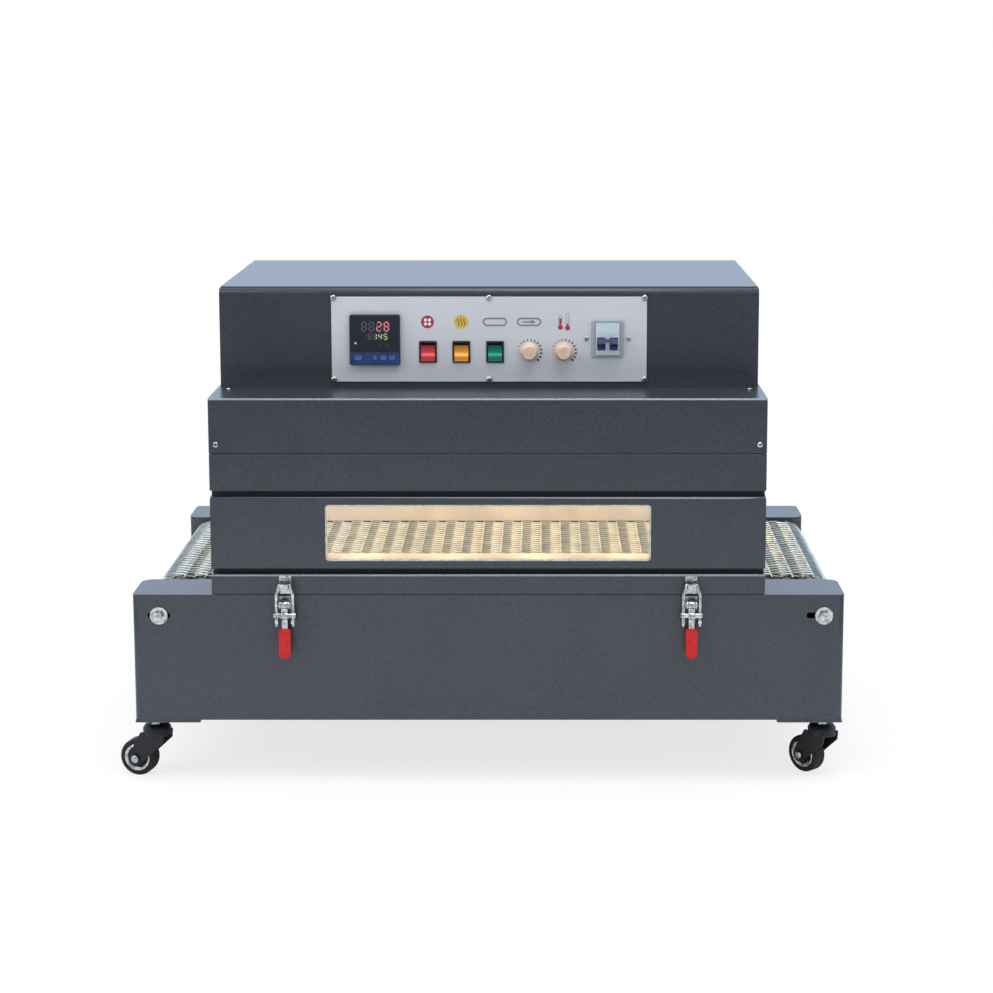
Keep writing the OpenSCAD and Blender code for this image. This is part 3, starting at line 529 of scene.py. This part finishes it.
SLOT_FINISH = {
    "powder_coat": hammer_powder_coat, "belt_steel": steel_wire_painted_lit, "plain_steel": cold_rolled_steel,
    "zinc_plate": zinc_plated_steel, "grip_vinyl": dipped_vinyl, "window_edge": folded_aluminium_trim,
    "window_glass": toughened_glass, "tunnel_lining": annealed_stainless_lining,
    "heater_glow": glowing_heater_tube, "panel_silver": anodised_panel, "control_black": black_abs_and_recess_shade,
    "rocker_red_lens": red_lens, "rocker_amber_lens": amber_lens, "rocker_green_lens": green_lens,
    "knob_cream": moulded_cream_phenolic, "breaker_grey": moulded_grey_frame,
    "breaker_white": moulded_white_breaker, "breaker_navy": moulded_navy_toggle,
    "caster_nylon": moulded_black_nylon, "caster_tread": moulded_rubber_tread,
}
# Fold radius of the sheets, and the softer edges of moulded and pressed pieces
FOLD = {"powder_coat": 1.0 * MM, "grip_vinyl": 3.5 * MM, "zinc_plate": 0.4 * MM, "panel_silver": 0.3 * MM,
        "control_black": 0.7 * MM, "breaker_grey": 0.8 * MM, "breaker_white": 0.6 * MM,
        "breaker_navy": 1.2 * MM, "knob_cream": 0.5 * MM, "rocker_red_lens": 0.6 * MM,
        "rocker_amber_lens": 0.6 * MM, "rocker_green_lens": 0.6 * MM, "caster_nylon": 0.8 * MM}
# Trays whose long front folds have the wide bend of a press brake
PRESSED_TRAYS = ("window_panel", "hood_sill_strip", "hood_front_cover")
BEND = 2.4 * MM
# What marks such a fold: its least length, its least angle and how near it lies to the tray's front and top
FOLD_LENGTH = 0.6
FOLD_ANGLE = 1.0
FOLD_NEAR = 0.1 * MM


def long_front_folds():
    """Modifier nodes that mark the long fold at the top of a tray's front face for the wide bend."""
    tree = bpy.data.node_groups.new("long_front_folds", "GeometryNodeTree")
    for way in ("INPUT", "OUTPUT"):
        tree.interface.new_socket("Geometry", in_out=way, socket_type="NodeSocketGeometry")
    tray = add(tree, "NodeGroupInput").outputs["Geometry"]
    ends = add(tree, "GeometryNodeInputMeshEdgeVertices").outputs
    box = add(tree, "GeometryNodeBoundBox", {"Geometry": tray}).outputs
    front = add(tree, "ShaderNodeSeparateXYZ", {"Vector": box["Min"]}).outputs["Y"]
    top = add(tree, "ShaderNodeSeparateXYZ", {"Vector": box["Max"]}).outputs["Z"]
    length = add(tree, "ShaderNodeVectorMath", {0: ends["Position 1"], 1: ends["Position 2"]}, operation="DISTANCE")
    start = add(tree, "ShaderNodeSeparateXYZ", {"Vector": ends["Position 1"]}).outputs
    angle = add(tree, "GeometryNodeInputMeshEdgeAngle").outputs["Unsigned Angle"]
    marked = 1.0
    for kind, tested in (("COMPARE", {0: start["Y"], 1: front, 2: FOLD_NEAR}),
                         ("COMPARE", {0: start["Z"], 1: top, 2: FOLD_NEAR}),
                         ("GREATER_THAN", {0: angle, 1: FOLD_ANGLE}),
                         ("GREATER_THAN", {0: length.outputs["Value"], 1: FOLD_LENGTH})):
        holds = add(tree, "ShaderNodeMath", tested, operation=kind).outputs["Value"]
        marked = add(tree, "ShaderNodeMath", {0: marked, 1: holds}, operation="MULTIPLY").outputs["Value"]
    stored = add(tree, "GeometryNodeStoreNamedAttribute", {
        "Geometry": tray, "Name": "bevel_weight_edge", "Value": marked},
        data_type="FLOAT", domain="EDGE")
    add(tree, "NodeGroupOutput", {"Geometry": stored.outputs["Geometry"]})
    return tree


def dress_cad():
    """Gives every CAD node its finish, and round edges where the real piece is folded or moulded."""
    folds = long_front_folds()
    for part in record["subparts"]:
        shown = frame["nodes"][part["node"]]
        slot = part["material_slot"]
        if not shown.material_slots:
            shown.data.materials.append(None)
        for held in shown.material_slots:
            held.material = material(SLOT_FINISH[slot])
        if slot in FOLD:
            weld = shown.modifiers.new("join_edges", "WELD")
            weld.merge_threshold = 0.01 * MM
            if part["node"] in PRESSED_TRAYS:
                shown.modifiers.new("mark_folds", "NODES").node_group = folds
                bend = shown.modifiers.new("bend_folds", "BEVEL")
                bend.width = BEND
                bend.segments = 4
                bend.limit_method = "WEIGHT"
                bend.harden_normals = True
                # The fold's bent faces take the paler, shinier coat: a painted highlight along the fold.
                shown.data.materials.append(material(fold_painted_highlight))
                bend.material = len(shown.data.materials) - 1
            fold = shown.modifiers.new("round_edges", "BEVEL")
            fold.width = FOLD[slot]
            fold.segments = 2
            fold.limit_method = "ANGLE"
            fold.angle_limit = radians(35)
            fold.harden_normals = True


# Wire belt: flattened spirals of alternate hand, joined by straight cross rods

BELT_PITCH = 15.4 * MM
WIRE = 1.5 * MM
KNUCKLE = 3.3 * MM
ROD = 1.2 * MM
# Width of one turn of a spiral, wider on the return run, which hardly shows
LAY = 14 * MM
RETURN_LAY = 28 * MM
# Share of the belt's length at each end that lies outside the heated stretch
END_SHARE = 0.32


def belt_loop():
    """The belt's loop of cross rods: their places and the outward turn at each spiral."""
    low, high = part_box("conveyor_belt")
    outer = (high.z - low.z) / 2
    radius = outer - KNUCKLE
    middle = (high.z + low.z) / 2
    left, right = low.x + outer, high.x - outer
    run, arc = right - left, pi * radius
    count = 2 * round((run + arc) / BELT_PITCH)
    places = []
    for i in range(count):
        along = 2 * (run + arc) * i / count
        if along < run:
            places.append((left + along, middle + radius))
        elif along < run + arc:
            turn = pi / 2 - (along - run) / radius
            places.append((right + radius * cos(turn), middle + radius * sin(turn)))
        elif along < 2 * run + arc:
            places.append((right - (along - run - arc), middle - radius))
        else:
            turn = -pi / 2 - (along - 2 * run - arc) / radius
            places.append((left + radius * cos(turn), middle + radius * sin(turn)))
    return np.array(places), low.y, high.y


def wire_tube(path):
    """Vertices and quads of a round wire along a path, closed at both ends."""
    sides = 6
    count = len(path)
    ahead = np.gradient(path, axis=0)
    ahead /= np.linalg.norm(ahead, axis=1)[:, None]
    across = np.cross(ahead, (0.31, 0.17, 0.93))
    across /= np.linalg.norm(across, axis=1)[:, None]
    over = np.cross(ahead, across)
    angles = np.arange(sides) * 2 * pi / sides
    rings = (path[:, None, :] + WIRE * (np.cos(angles)[None, :, None] * across[:, None, :]
                                        + np.sin(angles)[None, :, None] * over[:, None, :]))
    here = (np.arange(count - 1)[:, None] * sides + np.arange(sides)[None, :])
    next_side = (np.arange(count - 1)[:, None] * sides + (np.arange(sides)[None, :] + 1) % sides)
    quads = np.stack([here, next_side, next_side + sides, here + sides], axis=-1).reshape(-1, 4)
    start = np.array([[3, 2, 1, 0], [5, 4, 3, 0]])
    end = (count - 1) * sides + start[:, ::-1]
    return rings.reshape(-1, 3), np.concatenate([quads, start, end])


def quad_mesh(name, verts, quads):
    """Mesh from arrays of vertices and quads."""
    mesh = bpy.data.meshes.new(name)
    mesh.vertices.add(len(verts))
    mesh.vertices.foreach_set("co", verts.astype(np.float32).ravel())
    mesh.loops.add(quads.size)
    mesh.loops.foreach_set("vertex_index", quads.astype(np.int32).ravel())
    mesh.polygons.add(len(quads))
    mesh.polygons.foreach_set("loop_start", np.arange(0, quads.size, 4, dtype=np.int32))
    mesh.update(calc_edges=True)
    return mesh


def spiral(width, lay, hand):
    """One flattened spiral: along the belt, across it and out from it."""
    reach = BELT_PITCH / 2 + ROD + 0.3 * MM
    rise = KNUCKLE - WIRE
    corners = np.array([(1, 0), (0.74, 1), (0, 1), (-0.74, 1), (-1, 0), (-0.74, -1), (0, -1), (0.74, -1)])
    turns = int((width - 4 * WIRE) / lay)
    steps = np.arange(turns * 8 + 1)
    path = np.empty((len(steps), 3))
    path[:, 0] = corners[steps % 8, 0] * reach
    path[:, 1] = (steps / 8 - turns / 2) * lay
    path[:, 2] = corners[steps % 8, 1] * rise * hand
    return wire_tube(path)


def wire_belt():
    """The belt in four stretches, and its cross rods."""
    places, front, rear = belt_loop()
    width, middle = rear - front, (front + rear) / 2
    count = len(places)
    fine = [spiral(width, LAY, hand) for hand in (1, -1)]
    coarse = [spiral(width, RETURN_LAY, hand) for hand in (1, -1)]
    low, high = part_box("conveyor_belt")
    ends = (high.x - low.x) * END_SHARE
    return_z = low.z + 4 * KNUCKLE
    stretches = {(key, hand): [] for key in ("infeed", "heated", "outfeed", "return") for hand in ("right", "left")}
    for i in range(count):
        a, b = places[i], places[(i + 1) % count]
        x, z = (a + b) / 2
        if z < return_z:
            key = "return"
        elif x < low.x + ends:
            key = "infeed"
        elif x > high.x - ends:
            key = "outfeed"
        else:
            key = "heated"
        verts, quads = (coarse if key == "return" else fine)[i % 2]
        turn = atan2(b[1] - a[1], b[0] - a[0])
        placed = np.empty_like(verts)
        placed[:, 0] = x + verts[:, 0] * cos(turn) - verts[:, 2] * sin(turn)
        placed[:, 1] = middle + verts[:, 1]
        placed[:, 2] = z + verts[:, 0] * sin(turn) + verts[:, 2] * cos(turn)
        stretches[key, "left" if i % 2 else "right"].append((placed, quads))
    for (key, hand), parts in stretches.items():
        starts = np.cumsum([0] + [len(v) for v, q in parts[:-1]])
        verts = np.concatenate([v for v, q in parts])
        quads = np.concatenate([q + s for (v, q), s in zip(parts, starts)])
        name = f"belt_{hand}_spirals_{key}"
        # The two hands lean opposite ways; one is painted lighter and the other darker, as painted light and shade
        # across the weave.
        wire = steel_wire_painted_shade if hand == "left" else steel_wire_painted_lit
        dress(name, quad_mesh(name, verts, quads), wire, "root", True, ["conveyor_belt"])
    rods = bmesh.new()
    for x, z in places:
        lathe(rods, [(0, front), (ROD, front), (ROD, rear), (0, rear)], (x, -z), 6)
    piece("belt_cross_rods", rods, steel_wire_painted_shade, "root",
          Matrix.Rotation(-pi / 2, 4, "X"), True, ["conveyor_belt"])


# Control panel: print, dials and display

def panel_frame():
    """Middle and front face of the control panel."""
    low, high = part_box("control_panel")
    return (low + high) / 2, low.y


def fan_symbol(disc, cut, centre):
    """Round red field with four blades left white."""
    prism(disc, circle(centre, 9.2 * MM, 40), 0, PRINT)
    for turn in range(4):
        angle = radians(45 + 90 * turn)
        blade = (centre[0] + 4.1 * MM * cos(angle), centre[1] + 4.1 * MM * sin(angle))
        prism(cut, circle(blade, 2.3 * MM, 16), PRINT, 1.6 * PRINT)


def heat_symbol(disc, mark, centre):
    """Round yellow field with three wavy heat lines."""
    prism(disc, circle(centre, 9.8 * MM, 40), 0, PRINT)
    for column in (-1, 0, 1):
        x = centre[0] + column * 4.2 * MM
        points = [(x + 1.0 * MM * sin(step * pi / 3), centre[1] + (step - 3) * 1.7 * MM) for step in range(7)]
        for a, b in zip(points, points[1:]):
            stroke(mark, a, b, 1.1 * MM, PRINT, 1.6 * PRINT)


def belt_symbol(ink, centre, arrow):
    """Outline of a belt round two rollers, with an arrow for its speed."""
    line = 2.6 * MM
    width, height = 35 * MM, 12.6 * MM
    band(ink, rounded(centre, width, height, height / 2 - 0.01 * MM, 10),
         rounded(centre, width - 2 * line, height - 2 * line, height / 2 - line - 0.01 * MM, 10), 0, PRINT)
    if arrow:
        x, y = centre
        stroke(ink, (x - 9 * MM, y), (x + 3 * MM, y), 2.4 * MM, 0, PRINT)
        prism(ink, [(x + 3 * MM, y - 3.4 * MM), (x + 10 * MM, y), (x + 3 * MM, y + 3.4 * MM)], 0, PRINT)


def thermometer_symbol(red, grey, centre, height, filled):
    """Bulb thermometer, its column red up to the filled share."""
    x, y = centre
    foot = y - height / 2 + 3.6 * MM
    top = y + height / 2
    stem = 2.4 * MM
    prism(red, circle((x, foot), 3.6 * MM, 20), 0, PRINT)
    level = foot + (top - foot) * filled
    stroke(red, (x, foot), (x, level), 2 * stem - 2.0 * MM, 0, 0.8 * PRINT)
    band(grey, rounded((x, (foot + top) / 2 + 1.5 * MM), 2 * stem, top - foot - 3 * MM, stem - 0.05 * MM, 6),
         rounded((x, (foot + top) / 2 + 1.5 * MM), 2 * stem - 1.6 * MM, top - foot - 4.6 * MM,
                 stem - 0.85 * MM, 6), 0, 0.9 * PRINT)


def dial_ticks(ink, centre):
    """Ticks round a knob that grow bolder clockwise."""
    count = 14
    for i in range(count):
        share = i / (count - 1)
        angle = radians(190 - 235 * share)
        near, far = 15.4 * MM, (17.4 + 1.8 * share) * MM
        stroke(ink, (centre[0] + near * cos(angle), centre[1] + near * sin(angle)),
               (centre[0] + far * cos(angle), centre[1] + far * sin(angle)), (0.7 + 2.0 * share) * MM, 0, PRINT)


def panel_print():
    """Everything that is screened on the panel, one piece for each ink."""
    middle, face = panel_frame()
    inks = {name: bmesh.new() for name in ("red", "yellow", "white", "grey", "black")}
    row = middle.z + 25 * MM
    fan_symbol(inks["red"], inks["white"], (middle.x - 87.7 * MM, row))
    heat_symbol(inks["yellow"], inks["black"], (middle.x - 39.6 * MM, row))
    belt_symbol(inks["grey"], (middle.x + 8.3 * MM, row), False)
    belt_symbol(inks["grey"], (middle.x + 56.8 * MM, row), True)
    thermometer_symbol(inks["red"], inks["grey"], (middle.x + 101.4 * MM, row - 0.8 * MM), 21 * MM, 0.75)
    thermometer_symbol(inks["red"], inks["grey"], (middle.x + 111.7 * MM, row + 0.1 * MM), 25 * MM, 0.3)
    for knob in ("speed_knob", "heat_knob"):
        low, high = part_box(knob)
        dial_ticks(inks["black"], ((low.x + high.x) / 2, (low.z + high.z) / 2))
    finishes = {"red": red_ink, "yellow": yellow_ink, "white": white_ink, "grey": grey_ink, "black": black_ink}
    for name, bm in inks.items():
        piece(f"panel_print_{name}", bm, finishes[name], "root", on_front(face))


# Lit bars of each digit: top, upper right, lower right, foot, lower left, upper left, middle
DIGIT_BARS = {"0": "1111110", "1": "0110000", "2": "1101101", "3": "1111001", "4": "0110011",
              "5": "1011011", "6": "1011111", "7": "1110000", "8": "1111111", "9": "1111011", " ": "0000000"}


def digit(lit, unlit, glyph, centre, width, height, bar):
    """Seven-bar digit."""
    x, y = centre
    w, h = width / 2, height / 2
    gap = bar * 0.35
    bars = [((-w, h), (w, h)), ((w, h), (w, 0)), ((w, 0), (w, -h)), ((-w, -h), (w, -h)),
            ((-w, 0), (-w, -h)), ((-w, h), (-w, 0)), ((-w, 0), (w, 0))]
    for on, (a, b) in zip(DIGIT_BARS[glyph], bars):
        a, b = Vector(a), Vector(b)
        step = (b - a).normalized() * (bar / 2 + gap * 0.2)
        a, b = a + step, b - step
        stroke(lit if on == "1" else unlit, (x + a.x, y + a.y), (x + b.x, y + b.y), bar, 0, 1.2 * PRINT)


def controller_face():
    """Display window, two rows of digits, lamps and the blue key strip."""
    low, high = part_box("temperature_controller")
    middle = (low + high) / 2
    side = high.x - low.x
    face = low.y + 0.8 * MM
    window = bmesh.new()
    prism(window, rounded((middle.x, middle.z + side * 0.12), side * 0.94, side * 0.7, 2 * MM), 0, 0.3 * MM)
    piece("controller_window", window, smoked_display, "root", on_front(face))
    strip = bmesh.new()
    prism(strip, rounded((middle.x, middle.z - side * 0.37), side * 0.97, side * 0.235, 1.5 * MM), 0, 0.3 * MM)
    piece("controller_key_strip", strip, blue_keypad, "root", on_front(face))
    keys = bmesh.new()
    for x, width in ((-0.33, 0.13), (0, 0.06), (0.17, 0.1), (0.34, 0.1)):
        prism(keys, rounded((middle.x + side * x, middle.z - side * 0.35), side * width + 0.6 * MM,
                            side * 0.075 + 0.6 * MM, 1.5 * MM), 0.2 * MM, 1.1 * MM)
    piece("controller_keys", keys, pale_blue_key, "root", on_front(face))
    lights = {name: bmesh.new() for name in ("red", "green", "dark")}
    for i, glyph in enumerate("  28"):
        x = middle.x + side * (-0.21 + 0.148 * i)
        digit(lights["red"], lights["dark"], glyph, (x, middle.z + side * 0.27), side * 0.085, side * 0.17, 1.7 * MM)
    for i, glyph in enumerate(" 145"):
        x = middle.x + side * (-0.1 + 0.105 * i)
        digit(lights["green"], lights["dark"], glyph, (x, middle.z + side * 0.07), side * 0.06, side * 0.11, 1.3 * MM)
    prism(lights["green"], rounded((middle.x - side * 0.38, middle.z - side * 0.06), 2.6 * MM, 2.6 * MM, 0.6 * MM),
          0, 1.2 * PRINT)
    for x in (0.1, 0.25):
        prism(lights["dark"], rounded((middle.x + side * x, middle.z - side * 0.11), 3 * MM, 1.2 * MM, 0.4 * MM),
              0, 1.2 * PRINT)
    lit = {"red": red_segment, "green": green_segment, "dark": dark_segment}
    for name, bm in lights.items():
        piece(f"controller_{name}_segments", bm, lit[name], "root", on_front(face - 0.3 * MM))


# Fasteners

def pan_head(bm, recess, centre, radius, foot):
    """Pan-head screw, drawn with its head outward, its cross recess marked by a black cross of painted shade."""
    lathe(bm, [(0, foot), (radius, foot), (radius, 0.25 * radius), (0.86 * radius, 0.5 * radius),
               (0.5 * radius, 0.62 * radius), (0, 0.65 * radius)], centre, 20)
    x, y = centre
    reach, width = 0.55 * radius, 0.2 * radius
    for dx, dy in ((reach, 0), (0, reach)):
        stroke(recess, (x - dx, y - dy), (x + dx, y + dy), width, 0.5 * radius, 0.68 * radius)


def screw_set(name, places, radius, matrix, foot=0.0):
    """A set of like screws on one face, seated at the given foot."""
    heads, recess_shades = bmesh.new(), bmesh.new()
    for centre in places:
        pan_head(heads, recess_shades, centre, radius, foot)
    piece(f"{name}_heads", heads, zinc_plated_steel, "root", matrix, True)
    # The black cross in each head is painted shade in the recess, not the zinc of the screw.
    piece(f"{name}_recesses", recess_shades, black_abs_and_recess_shade, "root", matrix)


def fasteners():
    """Screws of the panel, the breaker, the hood's cover and the latches."""
    middle, face = panel_frame()
    low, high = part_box("control_panel")
    edges = [(x, z) for x in (low.x + 3.2 * MM, middle.x, high.x - 3.2 * MM)
             for z in (low.z + 3.7 * MM, high.z - 1.4 * MM)]
    screw_set("panel_screws", edges, 4.4 * MM, on_front(face), face - high.y)
    low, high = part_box("breaker_frame")
    level = (low.z + high.z) / 2
    screw_set("breaker_screws", [(low.x - 6.6 * MM, level), (high.x + 6.6 * MM, level)], 3.4 * MM, on_front(face))
    front, box_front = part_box("hood_front_cover"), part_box("control_box_cover")[0].y
    screw_set("ledge_screws", [(x, box_front - 18 * MM) for x in (front[0].x + 18 * MM, front[1].x - 18 * MM)],
              3.4 * MM, Matrix.Translation((0, 0, front[1].z)))
    screw_set("cover_screws", [(x, front[0].z + 12 * MM) for x in (front[0].x + 10 * MM, front[1].x - 10 * MM)],
              4.2 * MM, on_front(front[0].y))
    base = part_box("latch_bases")
    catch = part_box("latch_catches")
    reach = (base[1].x - base[0].x) / 2 - 12 * MM
    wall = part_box("base_front_frame")[0].y - 2 * MM
    feet = [(side * reach + dx, base[0].z + 3.4 * MM) for side in (-1, 1) for dx in (-8 * MM, 8 * MM)]
    screw_set("latch_foot_screws", feet, 2.2 * MM, on_front(wall))
    tops = [(side * reach + dx, catch[1].z - 4 * MM) for side in (-1, 1) for dx in (-4.5 * MM, 4.5 * MM)]
    screw_set("latch_catch_screws", tops, 1.9 * MM, on_front(wall))


# Casters

def caster_metal():
    """Bright ring on both faces of each wheel, and a cap on both ends of its axle."""
    ring = [(12.2, 8.9), (18.9, 8.9), (19.8, 9.8), (19.2, 11.1), (17.7, 11.3), (15.9, 10.2), (12.2, 9.6), (12.2, 8.9)]
    cap = [(0, 18.6), (5.6, 18.6), (5.6, 19.4), (4.2, 20.3), (0, 20.6)]
    for joint in record["behaviour"]["joints"]:
        wheel, fork = joint["child"], joint["parent"]
        if not wheel.startswith("caster_wheel"):
            continue
        corner = wheel[len("caster_wheel"):]
        turn = Vector(joint["axis"]).to_track_quat("Z", "Y").to_matrix().to_4x4()
        for name, profile, body in (("caster_rim", ring, wheel), ("caster_axle_caps", cap, fork)):
            both = bmesh.new()
            for side in (1, -1):
                lathe(both, [(r * MM, side * z * MM) for r, z in profile], segments=40)
            bmesh.ops.remove_doubles(both, verts=both.verts, dist=0.001 * MM)
            piece(name + corner, both, zinc_plated_steel, body,
                  Matrix.Translation(joint["pos_m"]) @ turn, True)


# Stage: floor, light and camera

def pale_floor():
    """Pale studio floor, white to the eye where nothing shades it."""
    bm = bmesh.new()
    bmesh.ops.create_grid(bm, x_segments=1, y_segments=1, size=2.6)
    mesh = bpy.data.meshes.new("floor")
    bm.to_mesh(mesh)
    bm.free()
    floor = bpy.data.objects.new("floor", mesh)
    bpy.context.scene.collection.objects.link(floor)
    made = bpy.data.materials.new("painted_studio_floor")
    made.use_nodes = True
    tree = made.node_tree
    tree.nodes.clear()
    paint = add(tree, "ShaderNodeBsdfDiffuse", {"Color": linear("#f6f6f6")})
    white = add(tree, "ShaderNodeEmission", {"Color": linear("#ffffff"), "Strength": 1.0})
    seen = add(tree, "ShaderNodeLightPath").outputs["Is Camera Ray"]
    share = add(tree, "ShaderNodeMath", {0: seen, 1: 0.75}, operation="MULTIPLY")
    mix = add(tree, "ShaderNodeMixShader", {0: share.outputs["Value"], 1: paint.outputs["BSDF"],
                                            2: white.outputs["Emission"]})
    add(tree, "ShaderNodeOutputMaterial", {"Surface": mix.outputs["Shader"]})
    mesh.materials.append(made)


def studio_world():
    """White to the eye; as a light, a bright room over the floor, cooler at the back, and dark below it."""
    world = bpy.data.worlds.new("studio_white")
    bpy.context.scene.world = world
    world.use_nodes = True
    tree = world.node_tree
    tree.nodes.clear()
    way = add(tree, "ShaderNodeSeparateXYZ", {
        "Vector": add(tree, "ShaderNodeTexCoord").outputs["Generated"]}).outputs
    height = add(tree, "ShaderNodeMapRange", {"Value": way["Z"], "From Min": -0.06, "From Max": 0.1})
    back = add(tree, "ShaderNodeMapRange", {"Value": way["Y"], "From Min": 0.2, "From Max": 0.9})
    sky = add(tree, "ShaderNodeMix", {"Factor": back.outputs["Result"], "A": linear("#f4f4f4"),
                                      "B": linear("#d2e5ff")}, data_type="RGBA")
    room = add(tree, "ShaderNodeMix", {"Factor": height.outputs["Result"], "A": linear("#2b2f34"),
                                       "B": sky.outputs["Result"]}, data_type="RGBA")
    strength = spread(tree, back.outputs["Result"], 0.93, 1.6)
    light = add(tree, "ShaderNodeBackground", {"Color": room.outputs["Result"], "Strength": strength})
    white = add(tree, "ShaderNodeBackground", {"Color": linear("#ffffff"), "Strength": 1.0})
    path = add(tree, "ShaderNodeLightPath").outputs
    seen = add(tree, "ShaderNodeMath", {0: path["Is Camera Ray"], 1: path["Is Transmission Ray"]},
               operation="MAXIMUM")
    mix = add(tree, "ShaderNodeMixShader", {0: seen.outputs["Value"], 1: light.outputs["Background"],
                                            2: white.outputs["Background"]})
    add(tree, "ShaderNodeOutputWorld", {"Surface": mix.outputs["Shader"]})


def softbox(name, place_at, aim, size, power):
    """Square area lamp that looks at a point."""
    lamp = bpy.data.lights.new(name, "AREA")
    lamp.shape = "SQUARE"
    lamp.size = size
    lamp.energy = power
    made = bpy.data.objects.new(name, lamp)
    bpy.context.scene.collection.objects.link(made)
    made.location = place_at
    made.rotation_euler = (Vector(aim) - Vector(place_at)).to_track_quat("-Z", "Y").to_euler()


# The camera stands a little right of the middle and above the tunnel's top
CAMERA_PLACE = (0.0751, -3.2172, 1.0457)
CAMERA_PITCH = 0.1425
CAMERA_LENS = 77.84
CAMERA_SHIFT = (-0.0457, -0.15)


def camera():
    """Camera at the photograph's place, with the frame moved so that uprights stay nearly parallel."""
    data = bpy.data.cameras.new("camera")
    data.lens = CAMERA_LENS
    data.sensor_width = 36.0
    data.shift_x, data.shift_y = CAMERA_SHIFT
    made = bpy.data.objects.new("camera", data)
    bpy.context.scene.collection.objects.link(made)
    made.location = CAMERA_PLACE
    made.rotation_euler = (pi / 2 - CAMERA_PITCH, 0, 0)
    bpy.context.scene.camera = made


camera()
dress_cad()
wire_belt()
panel_print()
controller_face()
fasteners()
caster_metal()
pale_floor()
studio_world()
softbox("overhead", (0.3, -0.9, 3.2), (0, 0, 0.4), 2.0, 50)
softbox("left_key", (-2.6, -1.6, 2.2), (0, 0, 0.3), 1.6, 26)
bpy.context.scene.view_settings.view_transform = "Standard"
